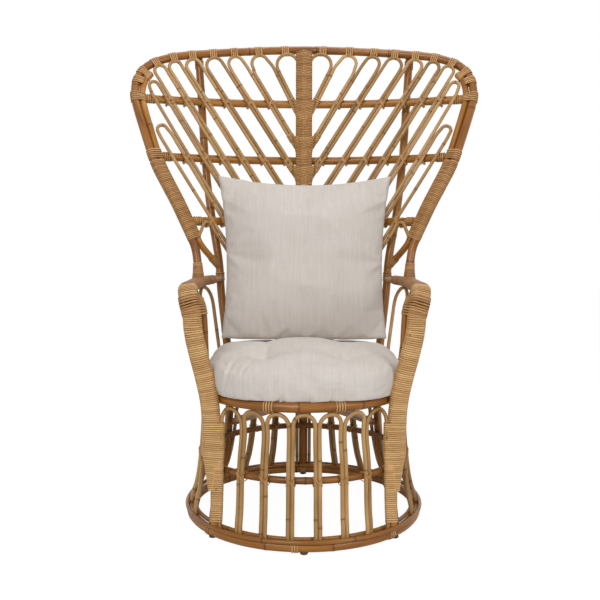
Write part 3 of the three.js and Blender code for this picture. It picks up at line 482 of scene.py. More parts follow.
def bend_pole(name, lines, diameter, kind, nodes=(), sides=16, step=8 * mm):
    """One piece of poles or canes along some lines, in place of the solids that it is named for."""
    parts = [with_growth(line, diameter, step) for line in lines]
    extras = {title: [values[title] for _, values in parts] for title in ("girth", "ring", "tone", "along")}
    guide = guide_mesh(name, [line for line, _ in parts], extras)
    piece = grown(name, guide, pole_tree, {"Sides": sides, "Finish": finishes[kind]})
    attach(piece, "chair_frame")
    if nodes:
        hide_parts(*nodes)
    print(name, len(piece.data.polygons), "faces")
    return piece


# %% [markdown]
# ## The drum
#
# The base is a drum with a waist: a thick hoop on the floor, two thin rings that trap the feet of the canes,
# a hoop inside the waist and a thick hoop that carries the seat. A hoop is a pole like any other, whose line
# comes back to where it started, with a long slanted joint that the binding hides.

# %% Hoops
def on_drum(angle, radius, height):
    return np.array([radius * math.sin(angle), -radius * math.cos(angle), height])


def outwards(places):
    return unit(np.asarray(places) * np.array([1.0, 1.0, 0.0]))


def hoop_line(radius, height, start=math.pi):
    angles = np.linspace(start, start + math.tau, 145)
    ring = [on_drum(angle, radius, height) for angle in angles]
    return Line(ring, outwards(ring))


base_hoop_height = glide_height + base_hoop_pole / 2
ring_offset = (cane + foot_ring_pole) / 2 + fit
ring_drop = (base_hoop_pole + foot_ring_pole) / 2 + fit
foot_ring_height = base_hoop_height + math.sqrt(ring_drop ** 2 - ring_offset ** 2)
foot_ring_top = foot_ring_height + foot_ring_pole / 2
cane_foot = base_hoop_height + base_hoop_pole / 2 + 2 * fit
arch_crown = seat_height - (seat_hoop_pole + cane) / 2 - fit

bend_pole("base_hoop_pole", [hoop_line(base_radius, base_hoop_height, 2.3)], base_hoop_pole, "frame_pole",
          ["base_hoop"], sides=24)
bend_pole("outer_foot_cane", [hoop_line(base_radius + ring_offset, foot_ring_height, 3.5)], foot_ring_pole,
          "rail_pole", ["outer_foot_ring"])
bend_pole("inner_foot_cane", [hoop_line(base_radius - ring_offset, foot_ring_height, 2.9)], foot_ring_pole,
          "rail_pole", ["inner_foot_ring"])
bend_pole("waist_hoop_bent", [hoop_line(waist_radius, waist_height, 2.6)], waist_hoop_pole, "rail_pole",
          ["waist_hoop"], sides=20)
bend_pole("seat_hoop_bent", [hoop_line(seat_radius, seat_height, 3.4)], seat_hoop_pole, "frame_pole",
          ["seat_hoop"], sides=24)

# %% [markdown]
# Six dark rubber glides sit under the base hoop. Each is a turned shape: a profile spun round the upright
# axis.

# %% Glides
def rubber_finish():
    material = bpy.data.materials.new("dark_rubber")
    material.use_nodes = True
    tree = material.node_tree
    shader = tree.nodes["Principled BSDF"]
    place = add_node(tree, "ShaderNodeTexCoord").outputs["Object"]
    wear = noise_along(tree, place, 1.0, 3.0, (420, 420, 420))
    tree.links.new(blend_colour(tree, wear, colour(56, 46, 38), colour(92, 76, 60)),
                   shader.inputs["Base Color"])
    tree.links.new(maths(tree, "ADD", maths(tree, "MULTIPLY", wear, 0.25), 0.5), shader.inputs["Roughness"])
    return material


def turned_glides(profile, places, sides=20):
    points, faces = [], []
    for middle in places:
        start = len(points)
        for i in range(sides):
            angle = i / sides * math.tau
            points += [(middle[0] + r * math.cos(angle), middle[1] + r * math.sin(angle), z)
                       for r, z in profile]
        row = len(profile)
        for i in range(sides):
            for j in range(row - 1):
                a, b = start + i * row + j, start + (i + 1) % sides * row + j
                faces.append((a, b, b + 1, a + 1))
        faces.append([start + i * row for i in range(sides)][::-1])
        faces.append([start + i * row + row - 1 for i in range(sides)])
    mesh = bpy.data.meshes.new("rubber_glides")
    mesh.from_pydata(points, [], faces)
    mesh.materials.append(rubber_finish())
    piece = bpy.data.objects.new("rubber_glides", mesh)
    bpy.context.scene.collection.objects.link(piece)
    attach(piece, "chair_frame")
    print("rubber_glides", len(mesh.polygons), "faces")


glide_profile = [(8 * mm, 0.0), (9.5 * mm, 1 * mm), (10 * mm, 3 * mm), (9 * mm, 7 * mm)]
turned_glides(glide_profile, [on_drum(math.radians(a), base_radius, 0.0) + drum_middle for a in glide_angles])

# %% [markdown]
# Inverted U canes stand round the drum. Each leg follows the waist, so its distance from the axis and its
# angle both change with height, and the bend at the top is half an ellipse between the two legs.

# %% Lines of the drum's canes
over_facets = 1 / math.cos(math.pi / 10)
leg_over = (leg_pole + 2 * (skin + fit)) * over_facets


def hoop_clearance(hoop_pole, pole):
    return (hoop_pole + pole) / 2 + fit


def standing_radius(diameter, top):
    waist = waist_radius + hoop_clearance(waist_hoop_pole, diameter)
    return smooth_table([(base_hoop_height, base_radius), (foot_ring_top, base_radius),
                         (flare_height, lerp(waist, base_radius, flare_share)), (waist_height, waist), top])


def seat_clearance(diameter):
    return (seat_height, seat_radius + hoop_clearance(seat_hoop_pole, diameter))


cane_radius_at = standing_radius(cane, (arch_crown, seat_radius))
leg_radius_at = standing_radius(leg_over, seat_clearance(leg_over))
rear_radius_at = standing_radius(upright_pole, seat_clearance(upright_pole))
spine_radius_at = standing_radius(spine_pole, seat_clearance(spine_pole))
rear_corner_at = smooth_table([(height, math.radians(angle)) for height, angle in
                               zip((base_hoop_height, waist_height, seat_height), rear_leg_angles)])


arm_pole_foot = lerp(waist_height, seat_height, 0.232)
arm_binding_foot = lerp(waist_height, seat_height, 0.696)
front_leg_reach_at = smooth_table([(arm_binding_foot, front_leg_foot_reach),
                                   (seat_height, front_leg_seat_reach)])


def front_corner_at(height):
    return math.asin(front_leg_reach_at(height) / leg_radius_at(height))


# %% [markdown]
# The last cane of the front runs down beside the front leg, and both are wound together, so its distance and
# angle come from the leg.

# %% The cane beside the front leg
leg_cane_gap = (leg_pole + cane) / 2 + fit
leg_cane_angle_at = smooth_table([(foot_ring_top, leg_cane_foot_angle),
                                  (arm_binding_foot, leg_cane_head_angle)])


def from_leg_cane(height):
    angle = leg_cane_angle_at(height)
    return np.array([math.cos(angle), math.sin(angle), 0.0])


leg_cane_stops = (foot_ring_top, flare_height, waist_height, arm_pole_foot, arm_binding_foot)
leg_cane_places = [on_drum(front_corner_at(z), leg_radius_at(z), z) - from_leg_cane(z) * leg_cane_gap
                   for z in leg_cane_stops]
leg_cane_radius_at = smooth_table([(p[2], math.hypot(p[0], p[1])) for p in leg_cane_places]
                                  + [(arch_crown, seat_radius)])
leg_cane_corner_at = smooth_table([(p[2], math.atan2(p[0], -p[1])) for p in leg_cane_places]
                                  + [(arch_crown, front_reach_angle)])


# %% Arches of the drum
def base_arch(start, end, bend_steps=14, leg_steps=12):
    """An arch between two edges; an edge gives the angle and the radius at each height."""
    (start_at, start_radius_at), (end_at, end_radius_at) = start, end
    middle = (start_at(arch_crown) + end_at(arch_crown)) / 2
    bend = cane_radius_at(arch_crown) * (end_at(arch_crown) - middle)
    springing = arch_crown - bend
    heights = np.linspace(cane_foot, springing, leg_steps)
    over = []
    for i in range(bend_steps):
        turn = (i + 1) / (bend_steps + 1) * math.pi
        height = springing + bend * math.sin(turn)
        across = (1 - math.cos(turn)) / 2
        radius = lerp(start_radius_at(height), end_radius_at(height), across)
        over.append(on_drum(lerp(start_at(height), end_at(height), across), radius, height))
    rising = [on_drum(start_at(z), start_radius_at(z), z) for z in heights]
    falling = [on_drum(end_at(z), end_radius_at(z), z) for z in heights[::-1]]
    stations = rising + over + falling
    return Line(stations, outwards(stations)).drawn()


def base_arches(count, from_at, to_at, room_from, room_to, last_radius_at=cane_radius_at):
    half = (cane + fit) / 2

    def edge(place, room):
        def angle_at(height):
            radius = cane_radius_at(height)
            start = from_at(height) + (room_from - half) / radius
            end = to_at(height) - (room_to - half) / radius
            return lerp(start, end, place / count) + room / radius
        return angle_at, last_radius_at if place % count == 0 else cane_radius_at

    return [base_arch(edge(i, half), edge(i + 1, -half)) for i in range(count)]


leg_room = (leg_over + cane) / 2 + fit
rear_room = (upright_pole + cane) / 2 + fit
spine_room = (spine_pole + cane) / 2 + fit
front_arch_lines = base_arches(7, lambda z: -leg_cane_corner_at(z), leg_cane_corner_at, 0, 0,
                               leg_cane_radius_at)
side_arch_lines = base_arches(4, front_corner_at, rear_corner_at, leg_room, rear_room)
back_arch_lines = base_arches(3, rear_corner_at, lambda z: math.pi, rear_room, spine_room)
sides = (("right", lambda line: line), ("left", lambda line: line.mirrored()))

# %% Canes of the drum
bend_pole("front_drum_canes", front_arch_lines, drawn_cane, "cane", ["front_arches"], sides=12)
for side, turned in sides:
    bend_pole(f"side_drum_canes_{side}", [turned(line) for line in side_arch_lines], drawn_cane, "cane",
              [f"side_arches_{side}"], sides=12)
    bend_pole(f"back_drum_canes_{side}", [turned(line) for line in back_arch_lines], drawn_cane, "cane",
              [f"back_arches_{side}"], sides=12)

# %% [markdown]
# ## The back
#
# The canes of the back lie on one sheet, which leans back and is bowed forward at its sides. Rails, uprights
# and rim lie in layers behind it, each one pole's thickness further back. A place is given by how far out and
# how high it is, and `on_layer` finds the point of a layer there.

# %% The bowed sheet
def above_arm(share):
    return lerp(arm_height, rim_height, share)


upper_rail_height, middle_rail_height, lower_rail_height = (above_arm(share)
                                                            for share in (0.7608, 0.5105, 0.242))
back_foot_depth = seat_radius + hoop_clearance(seat_hoop_pole, cane)
bow_at = smooth_table(
    [(lerp(seat_height, arm_height, height), share * bow_depth) for height, share in ((0, 1), (0.55, 0.94))]
    + [(above_arm(height), share * bow_depth) for height, share in (
        (0.0224, 0.85), (0.1348, 0.765), (0.2453, 0.64), (0.4831, 0.4), (0.7922, 0.2), (1, 0.13))])


def sheet_depth(x, z):
    return back_foot_depth + math.tan(back_lean) * (z - seat_height) - bow_at(z) * (x / bow_reach) ** 2


def sheet_facing(x, z):
    along_x = (sheet_depth(x + fit, z) - sheet_depth(x - fit, z)) / (2 * fit)
    along_z = (sheet_depth(x, z + fit) - sheet_depth(x, z - fit)) / (2 * fit)
    return unit(np.array([along_x, -1.0, along_z]))


def on_layer(x, z, layer):
    u, w = x, z
    for _ in range(8):
        facing = sheet_facing(u, w)
        u, w = x - facing[0] * layer, z - facing[2] * layer
    return np.array([u, sheet_depth(u, w), w]) + sheet_facing(u, w) * layer


def layered(places, layer):
    return Line([on_layer(x, z, layer) for x, z in places], [sheet_facing(x, z) for x, z in places])


rail_layer = -(cane + rail_pole) / 2 - lash_gap
rim_layer = -rim_setback
upright_layer = rail_layer - (rail_pole + upright_pole) / 2 - lash_gap
upright_top_layer = rim_layer - (rim_pole + upright_pole) / 2 - fit
spine_over = (spine_pole + 2 * (skin + fit)) * over_facets
spine_layer = rail_layer + (rail_pole + spine_over) / 2 + lash_gap

# %% The rim and the wings
rim_shares = ((0, 1), (0.2, 0.9963), (0.39, 0.9878), (0.55, 0.9775), (0.7, 0.9644), (0.79, 0.9522),
              (0.872, 0.9326), (0.93, 0.9092), (0.97, 0.8783), (0.992, 0.8408), (1, 0.794), (0.99, 0.7416),
              (0.935, 0.6255), (0.858, 0.4794), (0.79, 0.3857), (0.734, 0.3108), (0.682, 0.2322),
              (0.645, 0.1741),
              (0.621, 0.1273), (0.609, 0.0749), (0.604, 0.0299), (0.602, 0))


def outline_through(rows, pieces=12):
    """A plain spline through flat points, with its ends held."""
    rows = np.array(rows)
    out = []
    for i in range(len(rows) - 1):
        a, b, c, d = rows[max(i - 1, 0)], rows[i], rows[i + 1], rows[min(i + 2, len(rows) - 1)]
        for t in np.linspace(0, 1, pieces, endpoint=False):
            leaving, arriving = (c - a) / 2, (d - b) / 2
            out.append((2 * b - 2 * c + leaving + arriving) * t ** 3
                       + (3 * c - 3 * b - 2 * leaving - arriving) * t ** 2 + leaving * t + b)
    return np.array(out + [rows[-1]])


rim_places = outline_through([(x * rim_reach, above_arm(z)) for x, z in rim_shares])
rim_side = layered(rim_places, rim_layer).resampled(6 * mm)
rim_left = rim_side.mirrored()
rim_line = Line(np.vstack([rim_left.stations[:0:-1], rim_side.stations]),
                np.vstack([rim_left.facings[:0:-1], rim_side.facings]))


def rim_station_below(share):
    low = (rim_side.stations[:, 0] > rim_reach / 2) & (rim_side.stations[:, 2] < above_arm(share))
    return int(np.argmax(low))


bend_pole("rim_pole_bent", [rim_line], rim_pole, "frame_pole", ["rim_pole"], sides=24)

# %% [markdown]
# Two uprights stand on the base hoop, pass behind the seat and run up behind the rails. The inner wing pole
# lies beside the rim as far as the armrest's height, where the two part and it crosses to the upright.

# %% Uprights and inner wings
drum_heights = (base_hoop_height, foot_ring_top, flare_height, waist_height, seat_height)
upright_shares = ((0, 0.492), (0.1198, 0.516), (0.2734, 0.556), (0.5094, 0.6), (0.7603, 0.63), (0.9587, 0.65))
upright_reach_at = smooth_table([(above_arm(height), reach * rim_reach) for height, reach in upright_shares])
upright_stops = (lerp(seat_height, arm_height, 0.8743), above_arm(0.0599), above_arm(0.242 / 1.5),
                 lower_rail_height,
                 (lower_rail_height + middle_rail_height) / 2, middle_rail_height,
                 (middle_rail_height + upper_rail_height) / 2, upper_rail_height, above_arm(0.9587))
standing_heights = (base_hoop_height + base_hoop_pole / 4,) + drum_heights[1:]
upright_stations = [on_drum(rear_corner_at(z), rear_radius_at(z), z) for z in standing_heights]
upright_stations += [on_layer(upright_reach_at(z), z, upright_layer) for z in upright_stops[:-1]]
upright_stations.append(on_layer(upright_reach_at(upright_stops[-1]), upright_stops[-1], upright_top_layer))
right_upright = Line(upright_stations, [sheet_facing(p[0], p[2]) for p in upright_stations]).drawn()

wing_gap = (rim_pole + wing_pole) / 2 + fit
wing_top, wing_split = rim_station_below(0.897), rim_station_below(0.1442)
wing_beside = rim_side.shifted(0, wing_gap).part(wing_top, wing_split)
wing_foot = right_upright.stations[np.argmax(right_upright.stations[:,
                                                                    2] > arm_height + inner_wing_foot_rise)]
wing_stations = np.vstack([wing_beside.stations[::6], wing_beside.stations[-1:], [wing_foot]])
inner_wing = Line(wing_stations, [sheet_facing(p[0], p[2]) for p in wing_stations]).drawn()
for side, turned in sides:
    bend_pole(f"rear_upright_bent_{side}", [turned(right_upright)], upright_pole, "frame_pole",
              [f"rear_upright_{side}"], sides=20)
    bend_pole(f"inner_wing_bent_{side}", [turned(inner_wing)], wing_pole, "frame_pole",
              [f"inner_wing_pole_{side}"])

# %% The spine and the rails
spine_top_height = rim_height - 6 * mm
spine_shares = (0.0334, 0.1618, 0.297, 0.4592, 0.6621, 0.8648, 0.9486, 1)
spine_stations = [on_drum(math.pi, spine_radius_at(z), z) for z in standing_heights]
behind_seat = spine_stations[-1][1]
for share in spine_shares:
    station = on_layer(0.0, lerp(seat_height, spine_top_height, share), spine_layer)
    station[1] = max(station[1], behind_seat)
    spine_stations.append(station)
forward = np.array([0.0, -1.0, 0.0])
spine_line = Line(spine_stations, [forward] * len(spine_stations)).drawn()
side_cane = (spine_pole + cane) / 2 + fit
bend_pole("spine_pole_bent", [spine_line], spine_pole, "frame_pole", ["spine_pole"], sides=24)


def reach_at(line, height):
    return float(line.stations[np.argmin(np.abs(line.stations[:, 2] - height)), 0])


rails = {"upper": upper_rail_height, "middle": middle_rail_height, "lower": lower_rail_height}
rail_lines = {}
for title, height in rails.items():
    reach = reach_at(inner_wing, height)
    rail_lines[title] = layered([(x, height) for x in np.linspace(-reach, reach, 90)], rail_layer)
    bend_pole(f"{title}_rail_bent", [rail_lines[title]], rail_pole, "rail_pole", [f"{title}_rail"], sides=20)

# %% [markdown]
# ## The fan
#
# Twenty canes fan out from the spine. Each is an inverted U tucked under the rim: it runs up beside its inner
# neighbour, turns, and comes down beside its outer neighbour, so that legs lie in pairs. The bend's centre is
# found by halving: the highest point whose distance to the rim still leaves room for the bend.

# %% Lines of the fan
pair_reaches = (0.067, 0.204, 0.331, 0.47, 0.595, 0.703, 0.804, 0.897)
steep_shares = (1.4294, 1.1792, 1.1078, 1.1006, 1.1221, 1.1435, 1.1614, 1.1864)
pair_side = (cane + fit) / 2
spine_half_width = side_cane + cane / 2 + 2 * fit + skin
fan_foot = seat_height + fan_foot_rise
rim_drop = math.sqrt(((rim_pole + cane) / 2 + fit) ** 2 - rim_setback ** 2)


def steepness(share):
    return share * (rim_height - arm_height) / rim_reach


pair_lines = [(share * rim_reach, upper_rail_height, steepness(steep))
              for share, steep in zip(pair_reaches, steep_shares)]
pair_lines.append((0.779 * rim_reach, middle_rail_height, steepness(1.1506)))


def beside_pair(pair, way):
    x, z, slope = pair
    return lambda height: x + (height - z) / slope + way * pair_side * math.hypot(1, 1 / slope)


def leg_places(x_at, from_height):
    slope = (x_at(from_height) - x_at(fan_foot)) / (from_height - fan_foot)
    end = max(fan_foot, from_height - (x_at(from_height) - spine_half_width) / slope - skin)
    heights = np.linspace(from_height, end, max(int((from_height - end) / (20 * mm)), 2) + 1)[1:]
    return [(x_at(z), z) for z in heights]


def bend_under_rim(x_at, bend):
    low, high = middle_rail_height, rim_height
    for _ in range(30):
        z = (low + high) / 2
        nearest = np.min(np.hypot(rim_places[:, 0] - x_at(z), rim_places[:, 1] - z))
        low, high = (z, high) if nearest > bend + rim_drop else (low, z)
    return x_at(low), low


def bend_places(centre, bend, from_angle, to_angle, steps=14):
    return [(centre[0] + bend * math.cos(angle), centre[1] + bend * math.sin(angle))
            for angle in np.linspace(from_angle, to_angle, steps)]


def fan_arch(inner, outer, place=None):
    inner_at, outer_at = beside_pair(inner, 1), beside_pair(outer, -1)
    lean = math.atan((inner[2] + outer[2]) / 2)
    width = (outer_at(upper_rail_height) - inner_at(upper_rail_height)) / 2
    bend = corner_bend if place else width * math.sin(lean)
    centre = ((place[0] * rim_reach, above_arm(place[1])) if place
              else bend_under_rim(lambda z: (inner_at(z) + outer_at(z)) / 2, bend))
    over = bend_places(centre, bend, lean + math.pi / 2, lean - math.pi / 2)
    places = leg_places(inner_at, over[0][1])[::-1] + over + leg_places(outer_at, over[-1][1])
    return layered(places, 0).drawn()


def first_arch(outer):
    outer_at = beside_pair(outer, -1)
    lean = math.atan(outer[2])
    taut = math.sin(lean) / (1 + math.sin(lean))
    bend = rim_pole
    for _ in range(9):
        centre = bend_under_rim(lambda z: side_cane + bend, bend)
        bend = (outer_at(centre[1]) - side_cane) * taut
    over = bend_places(centre, bend, math.pi, lean - math.pi / 2)
    inner_leg = [(side_cane, z) for z in np.linspace(upper_rail_height - rim_pole, centre[1], 12)[:-1]]
    places = inner_leg + over + leg_places(outer_at, over[-1][1])
    shares = np.clip((np.arange(len(places)) - len(inner_leg)) / (len(over) - 1), 0, 1)
    stations = [on_layer(x, z, lerp(spine_layer, 0, share)) for (x, z), share in zip(places, shares)]
    return Line(stations, [sheet_facing(x, z) for x, z in places]).drawn()


def last_arch(inner):
    inner_at = beside_pair(inner, 1)
    lean = math.atan(inner[2])
    centre = (0.563 * rim_reach, above_arm(0.2247))
    over = bend_places(centre, foot_bend, lean + math.pi / 2, 0)
    tail = (over[-1][0] + foot_bend, over[-1][1] - foot_fall)
    return layered(leg_places(inner_at, over[0][1])[::-1] + over + [tail], 0).drawn()


fan_lines = [first_arch(pair_lines[0])]
fan_lines += [fan_arch(pair_lines[i - 1], pair_lines[i]) for i in range(1, len(pair_lines) - 2)]
fan_lines.append(fan_arch(pair_lines[-3], pair_lines[-2], (0.895, 0.8174)))
fan_lines.append(fan_arch(pair_lines[-2], pair_lines[-1], (0.833, 0.6255)))
fan_lines.append(last_arch(pair_lines[-1]))

# %% Canes of the fan
for side, turned in sides:
    for i, line in enumerate(fan_lines, 1):
        bend_pole(f"bent_fan_cane_{side}_{i}", [turned(line)], drawn_cane, "cane",
                  [f"fan_cane_{side}_{i}"], sides=12)

# %% [markdown]
# ## The arms
#
# The front leg goes on up as the inner pole of the armrest: it leans out, bends back over, and runs to the
# upright. A second pole lies against its outer side, and both are wound together from below the seat on.

# %% Lines of the arms
post_shares, post_top = ((0.27, 0.184), (0.55, 0.425), (0.78, 0.59)), 0.65
arm_rear_shares = ((0.45, 1), (0.62, 1.01), (0.76, 0.94), (0.88, 0.72))
arm_gap = (leg_over + arm_pole) / 2 + fit
arm_seat = right_upright.stations[np.argmin(np.abs(right_upright.stations[:, 2] - arm_height))]
arm_leg_heights = (standing_heights[0], *leg_cane_stops, seat_height)


def arm_line():
    stations = [on_drum(front_corner_at(z), leg_radius_at(z), z) for z in arm_leg_heights]
    start = stations[-1]
    spread, rise = arm_reach - start[0], arm_height - arm_bend - seat_height
    for height, share in post_shares:
        stations.append(np.array([start[0] + share * spread, lerp(start[1], arm_front, height),
                                  seat_height + height * rise]))
    for share in (0, 1 / 3, 2 / 3, 1):
        turn = share * math.pi / 2
        out = lerp(post_top, arm_rear_shares[0][1], (math.sin(turn) + turn / math.pi) / 2)
        stations.append(np.array([start[0] + out * spread, arm_front + arm_bend * (1 - math.cos(turn)),
                                  arm_height - arm_bend * (1 - math.sin(turn))]))
    for along, out in arm_rear_shares:
        stations.append(np.array([start[0] + out * spread, lerp(arm_front, arm_seat[1], along), arm_height]))
    stations.append(np.array([arm_seat[0], arm_seat[1], arm_height]))
    return Line(stations, [(1, 0, 0)] * len(stations))


arm_stations = arm_line()
seat_station = arm_leg_heights.index(seat_height)
bend_start = seat_station + 1 + len(post_shares)
arm = arm_stations.drawn()


def length_at(line, station):
    """How far along a drawn line the point nearest to a station lies."""
    return float(line.lengths()[np.argmin(np.linalg.norm(line.stations - station, axis=1))])


arm_marks = [length_at(arm, station) for station in arm_stations.stations]
arm_pole_mark, arm_binding_mark = (arm_marks[arm_leg_heights.index(z)]
                                   for z in (arm_pole_foot, arm_binding_foot))
outer_arm = arm.between(arm_pole_mark, arm_marks[-1]).shifted(arm_gap, 0)

stay_apart, stay_bearing = (leg_over + arm_stay_pole) / 2 + fit, math.radians(40)
stay_head = arm.between(arm_marks[bend_start], arm_marks[bend_start + 1], 10 * mm).shifted(
    -stay_apart * math.cos(stay_bearing), stay_apart * math.sin(stay_bearing)).stations
stay_foot = on_drum(math.radians(56), seat_radius + hoop_clearance(seat_hoop_pole, arm_stay_pole),
                    seat_height - seat_hoop_pole / 2)
stay_stations = [stay_foot, (stay_foot + stay_head[0]) / 2, *stay_head]
arm_stay = Line(stay_stations, [(1, 0, 0)] * len(stay_stations)).drawn()

# %% Small arches under the armrest
arm_tail = arm_stations.stations[bend_start:]
arm_reach_at = smooth_table([(p[1], p[0] + arm_gap / 2) for p in arm_tail])
arm_underside = arm_height - leg_over / 2 - cane / 2 - fit


def arm_arches(count=3, bend_steps=14):
    first, last = math.radians(66), math.radians(121)
    head_from, head_to = arm_front + arm_bend + cane, arm_seat[1] - upright_pole - cane
    apart = (cane + fit) / 2

    def web(share, rise, aside):
        foot = on_drum(lerp(first, last, share) + aside / seat_radius, seat_radius, seat_height)
        y = lerp(head_from, head_to, share) + aside
        return lerp(foot, np.array([arm_reach_at(y), y, arm_underside]), rise)

    lines = []
    for i in range(count):
        start, end = i / count, (i + 1) / count
        bend = (head_to - head_from) / count / 2 - apart
        springing = 1 - bend / (arm_underside - seat_height)
        over = []
        for turn in np.linspace(0, math.pi, bend_steps):
            share = (start + end) / 2 - (end - start) / 2 * math.cos(turn)
            over.append(web(share, lerp(springing, 1, math.sin(turn)), apart * math.cos(turn)))
        rising = [web(start, springing * share, apart) for share in np.linspace(0, 1, 10)[:-1]]
        falling = [web(end, springing * share, -apart) for share in np.linspace(1, 0, 10)[1:]]
        stations = rising + over + falling
        lines.append(Line(stations, outwards(stations)).drawn())
    return lines


arm_arch_lines = arm_arches()

# %% Poles of the arms
for side, turned in sides:
    bend_pole(f"front_leg_and_arm_{side}", [turned(arm)], leg_pole, "frame_pole", [f"arm_pole_{side}"])
    bend_pole(f"outer_arm_bent_{side}", [turned(outer_arm)], arm_pole, "frame_pole",
              [f"outer_arm_pole_{side}"])
    bend_pole(f"arm_stay_bent_{side}", [turned(arm_stay)], arm_stay_pole, "frame_pole", [f"arm_stay_{side}"])
    bend_pole(f"armrest_canes_{side}", [turned(line) for line in arm_arch_lines], drawn_cane, "cane",
              [f"arm_arches_{side}"], sides=12)

# %% [markdown]
# ## Braces and the seat deck
#
# Two braces run from the front of the seat hoop down to the uprights, under the seat. The deck is a row of
# thin slats on two cross poles; the cushion hides it, and it shows only from below.

# %% Braces and deck
brace_from = on_drum(math.asin(brace_reach / seat_radius), seat_radius, seat_height - brace_drop)
brace_inside = rear_radius_at(brace_height) - (upright_pole + brace_pole) / 2 - fit
brace_to = on_drum(rear_corner_at(brace_height), brace_inside, brace_height)
brace = Line([brace_from, (brace_from + brace_to) / 2, brace_to], [up] * 3).drawn()
for side, turned in sides:
    bend_pole(f"seat_brace_bent_{side}", [turned(brace)], brace_pole, "rail_pole", [f"seat_brace_{side}"])

slat_height = seat_height + seat_hoop_pole / 2 - cane / 2 * math.cos(math.pi / 5)
cross_height = slat_height - (cane + deck_pole) / 2 + 0.6 * mm
deck_lines = []
for i in range(-4, 5):
    x = i * 50 * mm
    reach = math.sqrt(seat_radius ** 2 - x ** 2) - 2 * mm
    deck_lines.append(Line([(x, -reach, slat_height), (x, reach, slat_height)], [up, up]).resampled(10 * mm))
bend_pole("deck_slats", deck_lines, cane, "deck", ["seat_deck"], sides=10)
cross_lines = []
for y in (-deck_pole_reach, deck_pole_reach):
    reach = math.sqrt(seat_radius ** 2 - y ** 2) - 2 * mm
    cross_lines.append(Line([(-reach, y, cross_height), (reach, y, cross_height)],
                            [up, up]).resampled(10 * mm))
bend_pole("deck_cross_poles", cross_lines, deck_pole, "deck", sides=14)

# %% [markdown]
# ## Turns of skin
#
# A binding is one strip of cane skin wound turn beside turn. Modelling the strip as a long helix is possible,
# but every turn looks like its neighbour, so one turn is made once and repeated along the line by Geometry
# Nodes. The outline of a turn is the cord drawn tight round the poles inside it.

# %% One turn of skin
def oval(x, y, radius, stretch=1.0):
    return x, y, radius, stretch


def tight_outline(ovals, room, count):
    """Evenly spaced points on the tight outline round some ovals, anticlockwise."""
    angles = np.linspace(0, math.tau, 48, endpoint=False)
    points = np.vstack([np.column_stack([x + (radius + room) * np.cos(angles),
                                         y + (radius + room) * stretch * np.sin(angles)])
                        for x, y, radius, stretch in ovals])
    points = points[np.lexsort((points[:, 1], points[:, 0]))]

    def chain(rows):
        line = []
        for row in rows:
            while len(line) > 1 and np.cross(line[-1] - line[-2], row - line[-1]) <= 1e-12:
                line.pop()
            line.append(row)
        return line[:-1]

    hull = np.array(chain(points) + chain(points[::-1]))
    ring = np.vstack([hull, hull[:1]])
    lengths = np.concatenate([[0.0], np.cumsum(np.linalg.norm(np.diff(ring, axis=0), axis=1))])
    places = np.linspace(0, lengths[-1], count, endpoint=False)
    return np.column_stack([np.interp(places, lengths, ring[:, 0]), np.interp(places, lengths, ring[:, 1])])


def turn_of_skin(name, ovals, width=5.2 * mm, count=32, dip=None):
    """One closed turn; dip gives a rise along the axis for a place on the outline, for slanted turns."""
    outline = tight_outline(ovals, fit / 2, count)
    ahead = np.roll(outline, -1, axis=0) - np.roll(outline, 1, axis=0)
    normals = unit(np.column_stack([ahead[:, 1], -ahead[:, 0]]))
    rises = np.array([dip(x, y) for x, y in outline]) if dip else np.zeros(count)
    section = ((0.0, -0.5), (0.66, -0.42), (1.0, 0.0), (0.66, 0.42), (0.0, 0.5))
    rings = []
    for out, along in section:
        flat = outline + normals * (out * (skin + fit / 2))
        rings.append(np.column_stack([flat, rises + along * width]))
    vertices = np.stack(rings, axis=1).reshape(-1, 3)
    size = len(section)
    faces = [(i * size + j, ((i + 1) % count) * size + j, ((i + 1) % count) * size + (j + 1) % size,
              i * size + (j + 1) % size)
             for i in range(count) for j in range(size)]
    mesh = bpy.data.meshes.new(name)
    mesh.from_pydata(vertices.tolist(), [], faces)
    strip = mesh.attributes.new("strip", "FLOAT_VECTOR", "POINT")
    steps = np.linalg.norm(np.roll(outline, -1, axis=0) - outline, axis=1)
    around = np.concatenate([[0.0], np.cumsum(steps)[:-1]])
    radius = around[-1] / math.tau
    angle = around / radius
    place = np.zeros((count, size, 3))
    place[:, :, 0] = (radius * np.cos(angle))[:, None]
    place[:, :, 1] = (radius * np.sin(angle))[:, None]
    place[:, :, 2] = np.array([along for _, along in section])[None, :] * width
    strip.data.foreach_set("vector", place.reshape(-1).astype(np.float32))
    turn = bpy.data.objects.new(name, mesh)
    bpy.context.scene.collection.objects.link(turn)
    return turn


